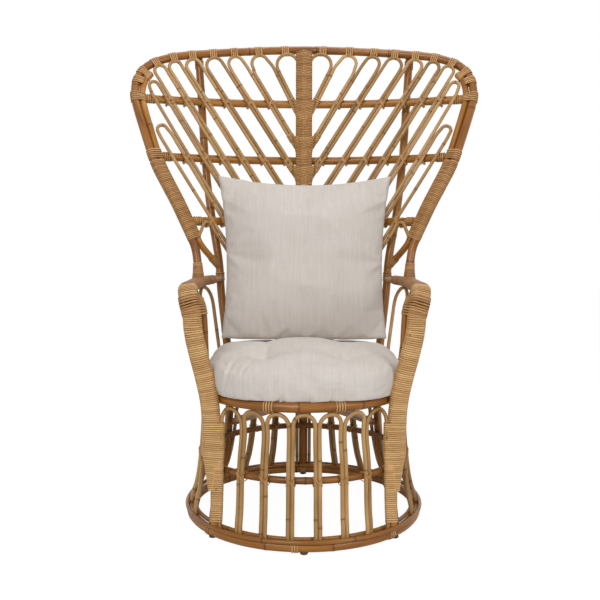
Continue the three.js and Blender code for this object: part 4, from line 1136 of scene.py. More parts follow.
# %% The tree that repeats a turn
def make_winding_tree():
    tree, entry, leave = new_geometry_tree("wound_turns", [
        ("Turn", "NodeSocketObject"), ("Pitch", "NodeSocketFloat"), ("Slant", "NodeSocketFloat"),
        ("Darkest", "NodeSocketFloat"), ("Palest", "NodeSocketFloat"), ("Seed", "NodeSocketInt"),
        ("Finish", "NodeSocketMaterial")])
    curve = add_node(tree, "GeometryNodeMeshToCurve", {"Mesh": entry.outputs["Guide"]})
    even = add_node(tree, "GeometryNodeResampleCurve",
                    {"Curve": curve.outputs[0], "Length": entry.outputs["Pitch"]}, mode="LENGTH")
    turn = add_node(tree, "GeometryNodeObjectInfo", {"Object": entry.outputs["Turn"]})
    named = {name: add_node(tree, "GeometryNodeInputNamedAttribute", {"Name": name},
                            data_type=kind).outputs[0]
             for name, kind in (("axis", "FLOAT_VECTOR"), ("facing", "FLOAT_VECTOR"),
                                ("swell", "FLOAT_VECTOR"))}
    aim = add_node(tree, "FunctionNodeAxesToRotation", {0: named["axis"], 1: named["facing"]},
                   primary_axis="Z", secondary_axis="X")
    low = add_node(tree, "ShaderNodeMath", {0: entry.outputs["Slant"], 1: -1.0}, operation="MULTIPLY")
    number = add_node(tree, "GeometryNodeInputIndex").outputs[0]
    tip = add_node(tree, "FunctionNodeRandomValue",
                   {2: low.outputs[0], 3: entry.outputs["Slant"], "Seed": entry.outputs["Seed"],
                                                     "ID": number}, data_type="FLOAT").outputs[1]
    lean = add_node(tree, "ShaderNodeCombineXYZ", {"X": tip, "Y": tip})
    tilt = add_node(tree, "FunctionNodeEulerToRotation", {0: lean.outputs[0]})
    turned = add_node(tree, "FunctionNodeRotateRotation", {0: aim.outputs[0], 1: tilt.outputs[0]},
                      rotation_space="LOCAL")
    turns = add_node(tree, "GeometryNodeInstanceOnPoints", {
        "Points": even.outputs[0], "Instance": turn.outputs["Geometry"], "Rotation": turned.outputs[0],
        "Scale": named["swell"]})
    shade = add_node(tree, "FunctionNodeRandomValue",
                     {2: entry.outputs["Darkest"], 3: entry.outputs["Palest"],
                                                       "Seed": entry.outputs["Seed"], "ID": number},
                                                       data_type="FLOAT")
    kept = add_node(tree, "GeometryNodeStoreNamedAttribute",
                    {"Geometry": turns.outputs[0], "Name": "shade", "Value": shade.outputs[1]},
                    data_type="FLOAT", domain="INSTANCE")
    whole = add_node(tree, "GeometryNodeRealizeInstances", {"Geometry": kept.outputs[0]})
    smooth = add_node(tree, "GeometryNodeSetShadeSmooth", {"Geometry": whole.outputs[0]})
    painted = add_node(tree, "GeometryNodeSetMaterial",
                       {"Geometry": smooth.outputs[0], "Material": entry.outputs["Finish"]})
    tree.links.new(painted.outputs[0], leave.inputs["Mesh"])
    return tree


winding_tree = make_winding_tree()

# %% [markdown]
# Fresh skin is a pale gold, and each turn comes from another place on the strip, so neighbours differ. A few
# turns have a dark nick where the strip was cut across a growth ring.

# %% The finish of the skin
def skin_finish():
    material = bpy.data.materials.new("pale_cane_skin")
    material.use_nodes = True
    tree = material.node_tree
    shader = tree.nodes["Principled BSDF"]
    strip = carried(tree, "strip", "Vector")
    shade = carried(tree, "shade")
    offset = add_node(tree, "ShaderNodeCombineXYZ", {"Z": maths(tree, "MULTIPLY", shade, 3.0)}).outputs[0]
    place = add_node(tree, "ShaderNodeVectorMath", {0: strip, 1: offset}, operation="ADD").outputs[0]
    fibres = noise_along(tree, place, 1.0, 2.0, (60, 60, 2600))
    patches = noise_along(tree, place, 1.0, 2.0, (38, 38, 38))
    value = maths(tree, "ADD", maths(tree, "MULTIPLY", patches, 0.5), maths(tree, "MULTIPLY", fibres, 0.25))
    value = maths(tree, "ADD", value, maths(tree, "MULTIPLY", shade, 0.35))
    value = maths(tree, "SUBTRACT", value, 0.08)
    ramp = add_node(tree, "ShaderNodeValToRGB", {0: value})
    steps = ramp.color_ramp.elements
    steps[0].position, steps[0].color = 0.0, colour(122, 76, 30)
    steps[1].position, steps[1].color = 1.0, colour(226, 184, 122)
    steps.new(0.35).color = colour(176, 126, 66)
    steps.new(0.7).color = colour(204, 156, 94)
    nick = maths(tree, "GREATER_THAN", noise_along(tree, place, 1.0, 1.0, (55, 55, 8)), 0.74)
    nicked = blend_colour(tree, maths(tree, "MULTIPLY", nick, 0.75), ramp.outputs[0], colour(92, 52, 22))
    # Each turn is painted darker towards its two edges: painted shade in the gaps between neighbouring turns.
    from_middle = maths(tree, "ABSOLUTE", add_node(tree, "ShaderNodeSeparateXYZ", {0: strip}).outputs[2])
    painted_gap_shade = maths(tree, "MULTIPLY", maths(tree, "SUBTRACT", from_middle, 1.35 * mm),
                   1 / (1.2 * mm), clamp=True)
    with_painted_gap_shade = blend_colour(tree, maths(tree, "MULTIPLY", painted_gap_shade, 0.8), nicked, colour(96, 56, 20))
    tree.links.new(with_painted_gap_shade, shader.inputs["Base Color"])
    bump = add_node(tree, "ShaderNodeBump", {"Strength": 0.3, "Distance": 0.0004, "Height": fibres})
    tree.links.new(bump.outputs[0], shader.inputs["Normal"])
    shader.inputs["Roughness"].default_value = 0.46
    shader.inputs["Coat Weight"].default_value = 0.2
    shader.inputs["Coat Roughness"].default_value = 0.3
    return material


finishes["binding"] = skin_finish()


# %% Winding a guide
def wind(name, guides, turn, nodes=(), pitch=5.2 * mm, slant=0.004, shades=(0.0, 1.0), seed=1):
    """Turns along each guide. A guide is a line, or a line with its own swell at each station."""
    lines = [guide[0] if isinstance(guide, tuple) else guide for guide in guides]
    swells = [guide[1] if isinstance(guide, tuple) else np.ones((len(guide.stations), 3)) for guide in guides]
    frames = [line.frames() for line in lines]
    extras = {"axis": [tangents for tangents, _, _ in frames],
              "facing": [normals for _, normals, _ in frames], "swell": swells}
    guide = guide_mesh(name, lines, extras)
    piece = grown(name, guide, winding_tree, {
        "Turn": turn, "Pitch": pitch, "Slant": slant, "Darkest": shades[0], "Palest": shades[1], "Seed": seed,
        "Finish": finishes["binding"]})
    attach(piece, "chair_frame")
    if nodes:
        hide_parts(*nodes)
    print(name, len(piece.data.polygons), "faces")
    return piece


# %% Bindings of arms, legs and wings
def flipped(ovals):
    return [oval(x, -y, radius, stretch) for x, y, radius, stretch in ovals]


arm_ovals = [oval(0, 0, leg_pole / 2), oval(arm_gap, 0, arm_pole / 2)]
leg_ovals = [oval(0, 0, leg_pole / 2), oval(-leg_cane_gap, 0, cane / 2)]
wing_ovals = [oval(0, 0, rim_pole / 2), oval(0, wing_gap, wing_pole / 2)]
spine_ovals = [oval(0, 0, spine_pole / 2), oval(0, side_cane, cane / 2), oval(0, -side_cane, cane / 2)]
arm_top_mark = arm_marks[bend_start + 3]
arm_wound = arm.between(arm_binding_mark, arm_top_mark)
arm_top_wound = arm.between(arm_top_mark + 5.2 * mm, arm_marks[-2])
leg_wound = arm.between(arm_marks[1] + foot_ring_pole / 2, arm_binding_mark - skin)
leg_wound = Line(leg_wound.stations, [from_leg_cane(station[2]) for station in leg_wound.stations])
wing_wound = rim_side.between(rim_side.lengths()[rim_station_below(0.4906)],
                              rim_side.lengths()[wing_split - 4])
low_places = [float(np.interp(z, arm.stations[:, 2], arm.lengths()))
              for z in (120 * mm, arm_pole_foot + 2 * mm)]
head_wound = arm.between(low_places[0], arm_binding_mark - skin)
head_wound = Line(head_wound.stations, [from_leg_cane(station[2]) for station in head_wound.stations])
taper = np.clip((head_wound.lengths()) / (low_places[1] - low_places[0]), 0, 1)
head_swell = np.column_stack([lerp(0.46, 1, taper), lerp(0.85, 1, taper), np.ones(len(taper))])
outer_bearing = math.radians(27)
outer_oval = oval(arm_gap * math.cos(outer_bearing), -arm_gap * math.sin(outer_bearing), arm_pole / 2)
head_ovals = [oval(x, y, radius + skin, stretch) for x, y, radius, stretch in leg_ovals] + [outer_oval]
head_turns = {"right": turn_of_skin("head_turn_right", head_ovals, count=40),
              "left": turn_of_skin("head_turn_left", flipped(head_ovals), count=40)}
arm_turn = turn_of_skin("arm_turn", arm_ovals)
leg_turn = turn_of_skin("leg_turn", leg_ovals, count=26)
spine_turn = turn_of_skin("spine_turn", spine_ovals, count=36)
wing_turns = {"right": turn_of_skin("wing_turn_right", wing_ovals, count=36),
              "left": turn_of_skin("wing_turn_left", flipped(wing_ovals), count=36)}
# Within a winding the turns differ at random, but each winding's range is painted light: arms and legs are wound paler
# where they face the lamps, and the armrest top and the wings darker, as painted shade.
for side, turned in sides:
    wind(f"wound_arm_{side}", [turned(arm_wound)], arm_turn, [f"arm_binding_{side}"],
         shades=(0.8, 1.7), seed=3)
    wind(f"wound_armrest_{side}", [turned(arm_top_wound)], arm_turn, shades=(-0.8, -0.1), seed=4)
    wind(f"wound_leg_{side}", [turned(leg_wound)], leg_turn, [f"leg_binding_{side}"],
         shades=(0.9, 1.8), seed=5)
    wind(f"wound_leg_head_{side}", [(turned(head_wound), head_swell)], head_turns[side],
         shades=(0.9, 1.8), seed=6)
    wind(f"wound_wing_{side}", [turned(wing_wound)], wing_turns[side], [f"wing_binding_{side}"],
         shades=(-0.2, 0.6), seed=7)
    wing_ties = []
    for height, half in ((upper_rail_height, 13 * mm), (middle_rail_height, 13 * mm),
                         (above_arm(0.878), 9 * mm)):
        place = length_at(rim_side, rim_side.stations[np.argmin(
            np.abs(rim_side.stations[:, 2] - height) + (rim_side.stations[:, 0] < rim_reach / 2))])
        wing_ties.append(turned(rim_side.between(place - half, place + half)))
    wind(f"wing_ties_{side}", wing_ties, wing_turns[side], shades=(0.1, 0.9), seed=8)

# %% [markdown]
# The stay's upper end is bound to the arm, and where the rim lands on the armrest its winding spreads out.

# %% Ties on the arms
stay_oval = oval(-stay_apart * math.cos(stay_bearing), stay_apart * math.sin(stay_bearing), arm_stay_pole / 2)
wound_arm_ovals = [oval(x, y, radius + skin + fit, stretch) for x, y, radius, stretch in arm_ovals]
stay_ovals = wound_arm_ovals + [stay_oval]
stay_turns = {"right": turn_of_skin("stay_turn_right", stay_ovals, count=40),
              "left": turn_of_skin("stay_turn_left", flipped(stay_ovals), count=40)}
stay_wound = arm.between(arm_marks[bend_start] - 4 * mm, arm_marks[bend_start + 1] + 10 * mm)
rim_foot_turn = turn_of_skin("rim_foot_turn", [oval(0, 0, rim_pole / 2)])
rim_foot = rim_side.between(*(float(np.interp(-z, -rim_side.stations[:, 2], rim_side.lengths()))
                              for z in (672 * mm, 631 * mm)))
spread = np.linspace(0, 1, len(rim_foot.stations)) ** 1.6 * 0.3 + 1
rim_foot_guides = [(turned(rim_foot), np.column_stack([spread, spread, np.ones(len(spread))]))
                   for _, turned in sides]
for side, turned in sides:
    wind(f"stay_ties_{side}", [turned(stay_wound)], stay_turns[side], shades=(-0.2, 0.6), seed=12)
wind("rim_foot_windings", rim_foot_guides, rim_foot_turn, pitch=4.6 * mm, shades=(-0.3, 0.5), seed=13)

# %% [markdown]
# The spine is a pole with a cane at each side, wound from the rim down to the seat. Where a pair of canes
# comes in, a second winding goes over the first: its turns start wide, over the ends of the pair, and draw in
# to the spine, so that each turn hangs in a shallow V.

# %% Windings of the spine
def spine_part(top, bottom, step=4 * mm):
    heights = spine_line.stations[:, 2]
    lengths = spine_line.lengths()
    return spine_line.between(float(np.interp(bottom, heights, lengths)),
                              float(np.interp(top, heights, lengths)), step)


def pair_meets_spine(pair):
    x, z, slope = pair
    return z - (x - spine_half_width) * slope


spine_cane_line = spine_part(upper_rail_height, seat_height + fan_foot_rise)
bend_pole("spine_side_canes", [spine_cane_line.shifted(0, side_cane), spine_cane_line.shifted(0, -side_cane)],
          drawn_cane, "cane")
full_wrap = spine_part(above_arm(1) - 12 * mm, seat_height + fan_foot_rise)
# Its range of shades is set darker than the arms and legs as painted shade.
wind("wound_spine", [full_wrap], spine_turn, ["spine_binding"], shades=(-0.2, 0.55), seed=9)
meeting_heights = [pair_meets_spine(pair) for pair in pair_lines if pair_meets_spine(pair) > fan_foot]
vee_turn = turn_of_skin("vee_turn", spine_ovals, count=36, dip=lambda x, y: 0.4 * abs(y))
vees = []
for height in meeting_heights:
    line = spine_part(height + 14 * mm, height - 38 * mm)
    width = np.linspace(1.0, 1.42, len(line.stations))
    vees.append((line, np.column_stack([1 + (width - 1) * 0.3, width, np.ones(len(width))])))
wind("wound_spine_vees", vees, vee_turn, shades=(-0.1, 0.7), seed=10)

# %% [markdown]
# ## Ties
#
# A tie is a short winding. Where canes cross a rail, two windings cross: each has its axis on one of the two
# lines that halve the angle of the crossing, and its outline is drawn tight round the pair in front and the
# rail behind. A cane that is cut at a slant is a longer oval, so each oval is stretched by the slant.

# %% Crossed ties of the back
def pair_at(pair, height):
    x, z, slope = pair
    return x + (height - z) / slope


def short_guide(centre, axis, facing, turns, pitch=4.6 * mm):
    half = (turns - 1) * pitch / 2
    stations = [centre - axis * half, centre, centre + axis * half]
    return Line(stations, [facing] * 3)


def crossed_turns(name, behind, behind_radius, half_angle, width=4.4 * mm):
    """The two turns of a crossed tie, one for each line that halves the angle."""
    turns = []
    for i, stretch in enumerate((1 / math.cos(half_angle), 1 / math.sin(half_angle))):
        ovals = [oval(0, way * pair_side * stretch, cane / 2, stretch) for way in (-1, 1)]
        ovals.append(oval(behind, 0, behind_radius, stretch))
        turns.append(turn_of_skin(f"{name}_{i}", ovals, width if i == 0 else width * 0.6, count=36))
    return turns


def rail_crossings(height):
    """Middle, way along the pair and facing at each crossing of a rail."""
    found = []
    for pair in pair_lines:
        x = pair_at(pair, height)
        inside_rim = reach_at(inner_wing, height) - wing_pole - 30 * mm
        if 50 * mm < x < inside_rim:
            middle, facing = on_layer(x, height, 0), sheet_facing(x, height)
            along = unit(on_layer(pair_at(pair, height + 10 * mm), height + 10 * mm, 0) - middle)
            sideways = unit(on_layer(x + 10 * mm, height, 0) - middle)
            found.append((middle, along, sideways, facing))
    return found


rail_turns = crossed_turns("rail_tie", -(cane + rail_pole) / 2 - lash_gap, rail_pole / 2,
                           math.radians(30), 3.4 * mm)
for title, height in rails.items():
    guides = [[], []]
    for middle, along, sideways, facing in rail_crossings(height):
        for i, axis in enumerate((unit(along + sideways), unit(along - sideways))):
            line = short_guide(middle, axis, facing, 2, 3.4 * mm)
            guides[i] += [turned(line) for _, turned in sides]
    for i, turn in enumerate(rail_turns):
        wind(f"{title}_rail_ties_{i + 1}", guides[i], turn, pitch=3.4 * mm, shades=(0.1, 1.0), seed=20 + i)

# %% Rings on the pairs, beside the spine
pair_ring = turn_of_skin("pair_ring", [oval(0, way * pair_side, cane / 2) for way in (-1, 1)], count=28)
ring_guides = []
for pair in pair_lines:
    height = pair_meets_spine(pair) + 20 * mm
    if height > fan_foot + 20 * mm:
        places = [(pair_at(pair, z), z) for z in np.linspace(height - 9 * mm, height + 9 * mm, 5)]
        ring_guides += [turned(layered(places, 0)) for _, turned in sides]
wind("pair_end_rings", ring_guides, pair_ring, shades=(0.1, 1.0), seed=24)

# %% [markdown]
# Each bend of the fan is tied up to the rim. The place is where the bend comes nearest to the rim.

# %% Ties at the rim
def nearest_on_rim(line):
    gaps = np.linalg.norm(line.stations[:, None] - rim_side.stations[None], axis=2)
    return float(rim_side.lengths()[np.unravel_index(np.argmin(gaps), gaps.shape)[1]])


rim_tie_ovals = [oval(0, 0, rim_pole / 2), oval(rim_setback, rim_drop, cane / 2)]
rim_turns = {"right": turn_of_skin("rim_turn_right", rim_tie_ovals),
             "left": turn_of_skin("rim_turn_left", flipped(rim_tie_ovals))}
rim_ties = []
for line in fan_lines[:-2]:
    place = nearest_on_rim(line)
    rim_ties.append(rim_side.between(place - 9 * mm, place + 9 * mm))
for side, turned in sides:
    wind(f"rim_ties_{side}", [turned(line) for line in rim_ties], rim_turns[side], shades=(0.1, 1.0), seed=26)

# %% Ties on the drum
def drum_pairs():
    """Angles at the waist of every pair of legs that stands side by side."""
    front, rear = front_corner_at(waist_height), rear_corner_at(waist_height)
    half, radius = (cane + fit) / 2, cane_radius_at(waist_height)
    last = leg_cane_corner_at(waist_height) + half / radius
    angles = [lerp(-last, last, i / 7) for i in range(1, 7)]
    side_start, side_end = front + (leg_room - half) / radius, rear - (rear_room - half) / radius
    back_start, back_end = rear + (rear_room - half) / radius, math.pi - (spine_room - half) / radius
    onward = [lerp(side_start, side_end, i / 4) for i in (1, 2, 3)] + [lerp(back_start, back_end, i / 3)
                                                                       for i in (1, 2)]
    return angles + onward + [-angle for angle in onward]


waist_turns = crossed_turns("waist_tie", -(cane + waist_hoop_pole) / 2 - fit, waist_hoop_pole / 2,
                            math.radians(45), 2.2 * mm)
guides = [[], []]
for angle in drum_pairs():
    middle = on_drum(angle, cane_radius_at(waist_height), waist_height)
    facing = np.array([math.sin(angle), -math.cos(angle), 0.0])
    sideways = np.cross(up, facing)
    for i, axis in enumerate((unit(up + sideways), unit(up - sideways))):
        guides[i].append(short_guide(middle, axis, facing, 2, 2.8 * mm))
for i, turn in enumerate(waist_turns):
    wind(f"waist_ties_{i + 1}", guides[i], turn, pitch=2.8 * mm, shades=(0.2, 1.0), seed=30 + i)

# %% Bands on single poles
def ring_turn(name, diameter, width=4.6 * mm):
    return turn_of_skin(name, [oval(0, 0, diameter / 2)], width, count=26)


def hoop_part(radius, height, angle, length):
    half = length / 2 / radius
    angles = np.linspace(angle - half, angle + half, 9)
    ring = [on_drum(a, radius, height) for a in angles]
    return Line(ring, outwards(ring))


def line_part(line, height, length):
    place = float(np.interp(height, line.stations[:, 2], line.lengths()))
    return line.between(place - length / 2, place + length / 2)


seat_ring = ring_turn("seat_ring", seat_hoop_pole)
brace_angle = math.asin(brace_reach / seat_radius)
wind("seat_hoop_bands", [hoop_part(seat_radius, seat_height, way * brace_angle, 20 * mm)
                         for way in (-1, 1)], seat_ring,
     shades=(0.3, 1.2), seed=33)
base_ring = ring_turn("base_ring", base_hoop_pole)
band_angles = [math.radians(angle) for angle in (-50, -4, 44, 125, 180, 235)]
wind("base_hoop_bands", [hoop_part(base_radius, base_hoop_height, angle, 12 * mm)
                         for angle in band_angles], base_ring,
     shades=(0.2, 1.0), seed=34)
upright_ring = ring_turn("upright_ring", upright_pole)
upright_bands = []
for height in (*rails.values(), above_arm(0.93), arm_height + 6 * mm, seat_height):
    upright_bands += [turned(line_part(right_upright, height, 20 * mm)) for _, turned in sides]
wind("upright_bands", upright_bands, upright_ring, shades=(0.0, 0.8), seed=35)
wing_ring = ring_turn("wing_ring", wing_pole)
wing_bands = [turned(inner_wing.between(4 * mm, 24 * mm)) for _, turned in sides]
foot_length = inner_wing.lengths()[-1]
wing_bands += [turned(inner_wing.between(foot_length - 46 * mm, foot_length - 12 * mm))
               for _, turned in sides]
wind("wing_pole_bands", wing_bands, wing_ring, shades=(0.0, 0.9), seed=36)
rail_ring = ring_turn("rail_ring", rail_pole)
rail_bands = []
for line in rail_lines.values():
    length = line.lengths()[-1]
    rail_bands += [line.between(14 * mm, 34 * mm), line.between(length - 34 * mm, length - 14 * mm)]
wind("rail_end_bands", rail_bands, rail_ring, shades=(0.0, 0.9), seed=37)
for turn in (arm_turn, leg_turn, spine_turn, vee_turn, pair_ring, seat_ring, base_ring, upright_ring,
             wing_ring, rail_ring,
             rim_foot_turn, *rail_turns, *waist_turns, *wing_turns.values(), *rim_turns.values(),
             *stay_turns.values(),
             *head_turns.values()):
    bpy.data.objects.remove(turn)

# %% [markdown]
# ## The cushions
#
# Both cushions are loose, of unbleached linen. A cushion is fabric that something soft pushes out from
# inside, so each starts as a slightly thin shell, and Blender's cloth simulation blows it up until the fabric
# is taut. Points that are stitched down stay where they are, and the fabric makes its own folds round them.

# %% Filling a shell
def places_of(piece):
    places = np.empty(len(piece.data.vertices) * 3)
    piece.data.vertices.foreach_get("co", places)
    return places.reshape(-1, 3)


def put_places(piece, places):
    piece.data.vertices.foreach_set("co", places.ravel())
    piece.data.update()


def outward_ways(piece):
    ways = np.empty(len(piece.data.vertices) * 3)
    piece.data.vertex_normals.foreach_get("vector", ways)
    return ways.reshape(-1, 3)


def shell(name, places, faces):
    mesh = bpy.data.meshes.new(name)
    mesh.from_pydata(places.tolist(), [], faces)
    piece = bpy.data.objects.new(name, mesh)
    bpy.context.scene.collection.objects.link(piece)
    return piece


def worked_in(piece):
    """Works the modifiers of a piece into its mesh."""
    bpy.context.view_layer.update()
    mesh = bpy.data.meshes.new_from_object(piece.evaluated_get(bpy.context.evaluated_depsgraph_get()))
    piece.modifiers.clear()
    thin = piece.data
    mesh.name = piece.name
    piece.data = mesh
    bpy.data.meshes.remove(thin)


def filled(piece, stitched, slack, cap, pressure=4.0):
    """Blows a shell up from inside. stitched gives how firmly each point is held, from 0 to 1."""
    start, ways = places_of(piece), outward_ways(piece)
    holding = piece.vertex_groups.new(name="stitched")
    for i in np.flatnonzero(stitched > 0.01):
        holding.add([int(i)], float(stitched[i]), "REPLACE")
    filling = piece.modifiers.new("filling", "CLOTH")
    cloth = filling.settings
    cloth.quality, cloth.mass = 6, 0.25
    cloth.tension_stiffness = cloth.compression_stiffness = 18
    cloth.shear_stiffness, cloth.bending_stiffness = 8, 0.4
    cloth.use_pressure, cloth.uniform_pressure_force = True, pressure
    cloth.shrink_min = -slack
    cloth.effector_weights.gravity = 0
    cloth.vertex_group_mass = "stitched"
    filling.collision_settings.use_collision = False
    filling.point_cache.frame_start, filling.point_cache.frame_end = 1, 20
    for step in range(1, 21):
        bpy.context.scene.frame_set(step)
    worked_in(piece)
    piece.vertex_groups.clear()
    moved = places_of(piece) - start
    swelled = np.sum(moved * ways, axis=1, keepdims=True)
    aside = (moved - swelled * ways) * 0.5
    put_places(piece, start + ways * np.clip(swelled, -4 * mm, cap) + aside)
    bpy.context.scene.frame_set(1)
    print(piece.name, "swelled by up to", round(float(swelled.max()) * 1000), "mm")


def finish_cushion(piece, body, node):
    piece.data.polygons.foreach_set("use_smooth", [True] * len(piece.data.polygons))
    piece.data.materials.clear()
    piece.data.materials.append(finishes["linen"])
    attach(piece, body)
    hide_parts(node)
    print(piece.name, len(piece.data.polygons), "faces")


def subdivided(piece):
    finer = piece.modifiers.new("finer", "SUBSURF")
    finer.levels = finer.render_levels = 1
    worked_in(piece)


# %% [markdown]
# The linen is a plain weave with slubs, that is, threads that are thicker in places. Warp and weft are two
# stretched noises that cross. They read Object coordinates, so the pattern stays on the cushion when it is
# lifted.

# %% The finish of the linen
def linen_finish():
    material = bpy.data.materials.new("unbleached_linen")
    material.use_nodes = True
    tree = material.node_tree
    shader = tree.nodes["Principled BSDF"]
    place = add_node(tree, "ShaderNodeTexCoord").outputs["Object"]
    warp = noise_along(tree, place, 1.0, 2.0, (640, 26, 26))
    weft = noise_along(tree, place, 1.0, 2.0, (22, 560, 560))
    slubs = noise_along(tree, place, 1.0, 2.0, (210, 9, 9))
    clouds = noise_along(tree, place, 1.0, 3.0, (14, 14, 14))
    threads = maths(tree, "ADD", maths(tree, "MULTIPLY", warp, 0.6), maths(tree, "MULTIPLY", weft, 0.4))
    value = maths(tree, "ADD", maths(tree, "MULTIPLY", threads, 0.55), maths(tree, "MULTIPLY", slubs, 0.3))
    value = maths(tree, "ADD", value, maths(tree, "MULTIPLY", clouds, 0.25))
    ramp = add_node(tree, "ShaderNodeValToRGB", {0: value})
    steps = ramp.color_ramp.elements
    steps[0].position, steps[0].color = 0.3, colour(196, 187, 177)
    steps[1].position, steps[1].color = 0.8, colour(221, 214, 206)
    steps.new(0.55).color = colour(209, 201, 193)
    tree.links.new(ramp.outputs[0], shader.inputs["Base Color"])
    bump = add_node(tree, "ShaderNodeBump", {"Strength": 0.5, "Distance": 0.0007, "Height": threads})
    tree.links.new(bump.outputs[0], shader.inputs["Normal"])
    shader.inputs["Roughness"].default_value = 0.88
    shader.inputs["Sheen Weight"].default_value = 0.12
    shader.inputs["Sheen Roughness"].default_value = 0.6
    return material


finishes["linen"] = linen_finish()

# %% [markdown]
# The seat cushion is a deep pad with a rounded edge, tufted in four places: threads pull top and bottom
# together there, and the fabric between them rises in nine soft lobes. The shell starts with the dimples and
# shallow valleys between them already in it, and the tufts are stitched while it fills.

# %% The seat cushion
seat_low, seat_high = (np.array(corner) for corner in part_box("seat_cushion"))
seat_middle = (seat_low + seat_high) / 2
seat_reach = (seat_high - seat_low) / 2
front_squareness, rear_squareness = 3.0, 4.2
side_powers = {"top": (10.0, 3.0), "bottom": (12.0, 3.4)}
tuft_columns = (-101 * mm, 101 * mm)
tuft_rows = (seat_middle[1] - 110 * mm, seat_middle[1] + 110 * mm)
tuft_places = [(x, y) for x in tuft_columns for y in tuft_rows]


def cube_ball(count):
    """Even quads on a ball, from a cube's six faces."""
    marks = np.tan(np.linspace(-1, 1, count + 1) * math.pi / 4)
    places, faces, seen = [], [], {}
    for axis in range(3):
        for way in (-1, 1):
            number = np.zeros((count + 1, count + 1), dtype=int)
            for i, a in enumerate(marks):
                for j, b in enumerate(marks):
                    place = np.insert(np.array([a, b]), axis, way).astype(float)
                    key = tuple(place.round(6))
                    if key not in seen:
                        seen[key] = len(places)
                        places.append(place / np.linalg.norm(place))
                    number[i, j] = seen[key]
            for i in range(count):
                for j in range(count):
                    quad = [number[i, j], number[i + 1, j], number[i + 1, j + 1], number[i, j + 1]]
                    faces.append([int(k) for k in (quad if way * (-1) ** axis > 0 else quad[::-1])])
    return np.array(places), faces


def squared_length(flat):
    """A length that is 1 on a rounded square; the square is fuller at the rear."""
    power = np.where(flat[:, 1] > 0, rear_squareness, front_squareness)
    return np.sum(np.abs(flat) ** power[:, None], axis=1) ** (1 / power)


def plan_share(places, reach):
    """How far out a place lies in the cushion's plan: 1 on its outline."""
    flat = (places[:, :2] - seat_middle[:2]) / reach[:2]
    return squared_length(flat)


def seat_shell(room):
    ball, faces = cube_ball(28)
    flat = np.hypot(ball[:, 0], ball[:, 1])
    square = squared_length(ball[:, :2])
    above = ball[:, 2] > 0
    across_power, rise_power = (np.where(above, *pair)
                                for pair in zip(side_powers["top"], side_powers["bottom"]))
    low, high = np.full(len(ball), 0.5), np.full(len(ball), 2.0)
    for _ in range(30):
        swell = (low + high) / 2
        outside = (swell * flat) ** across_power + (swell * np.abs(ball[:, 2])) ** rise_power > 1
        low, high = np.where(outside, low, swell), np.where(outside, swell, high)
    out = flat * swell / np.maximum(square, 1e-9)
    reach = seat_reach - room
    rise = (ball[:, 2] * swell + 1) / 2 * (seat_high[2] - seat_low[2] - room)
    places = np.column_stack([ball[:, 0] * out * reach[0], ball[:, 1] * out * reach[1], rise])
    return places + np.array([seat_middle[0], seat_middle[1], seat_low[2]]), faces


def tuft_pull(places, width):
    return sum(np.exp(-((places[:, 0] - x) ** 2 + (places[:, 1] - y) ** 2) / width ** 2)
               for x, y in tuft_places)


def valleys(places):
    """Shallow valleys along and across, through the tufts."""
    across = sum(np.exp(-((places[:, 0] - x) / (24 * mm)) ** 2) for x in tuft_columns)
    along = sum(np.exp(-((places[:, 1] - y) / (24 * mm)) ** 2) for y in tuft_rows)
    inside = np.clip(1.25 - plan_share(places, seat_reach), 0, 1)
    return np.maximum(across * 0.9, along * 0.6) * inside


places, faces = seat_shell(11 * mm)
pad = shell("tufted_seat_cushion", places, faces)
even = pad.modifiers.new("even", "REMESH")
even.mode, even.voxel_size, even.use_smooth_shade = "VOXEL", 6 * mm, True
worked_in(pad)
places = places_of(pad)
top_share = np.clip((places[:, 2] - seat_low[2] - 45 * mm) / (50 * mm), 0, 1)
places[:, 2] -= top_share * (26 * mm * np.minimum(tuft_pull(places, 26 * mm), 1) + 8 * mm * valleys(places))
put_places(pad, places)
stitched = np.where(tuft_pull(places, 10 * mm) > 0.55, 1.0, 0.0) * (top_share > 0)
stitched = np.maximum(stitched, (places[:, 2] < seat_low[2] + 3 * mm).astype(float))
filled(pad, stitched, slack=0.06, cap=15 * mm)

# %% [markdown]
# The simulation knows nothing of the arms, the deck or the pillow, so the pad is kept inside its own solid's
# outline, and pressed down where the pillow stands on it. The long folds at its front corner come from
# sitting, and are pressed in afterwards along drawn lines.

# %% Keeping it in its place, and its folds
pressed_from, pressed_over = 25 * mm, 40 * mm  # where the pillow's weight begins to tell
swell_room, pillow_room, deck_room = 5 * mm, 7 * mm, 0.2 * mm
settling, settles_below = 15 * mm, 60 * mm  # the lower part sags by its own weight


def kept_inside(places, reach):
    """Holds places inside the plan, under the pillow, and settled on the deck."""
    share = np.maximum(plan_share(places, reach), 1)[:, None]
    kept = places.copy()
    kept[:, :2] = seat_middle[:2] + (places[:, :2] - seat_middle[:2]) / share
    under_pillow = np.clip((kept[:, 1] - pressed_from) / pressed_over, 0, 1)
    under_pillow = under_pillow * under_pillow * (3 - 2 * under_pillow)
    top = lerp(seat_high[2] + swell_room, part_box("back_pillow")[0].z - pillow_room, under_pillow)
    above_deck = kept[:, 2] - seat_low[2]
    settled = above_deck - settling * np.clip(1 - above_deck / settles_below, 0, 1)
    kept[:, 2] = np.minimum(seat_low[2] + np.maximum(settled, deck_room), top)
    return kept


def seen_from_front(places):
    """Where places fall in the camera's 600 by 600 frame."""
    turn = np.array(camera.rotation_euler.to_matrix())
    local = (places - np.array(camera.location)) @ turn
    scale = 600 * camera_data.lens / camera_data.sensor_width / -local[:, 2]
    return np.column_stack([300 + local[:, 0] * scale, 300 - local[:, 1] * scale])


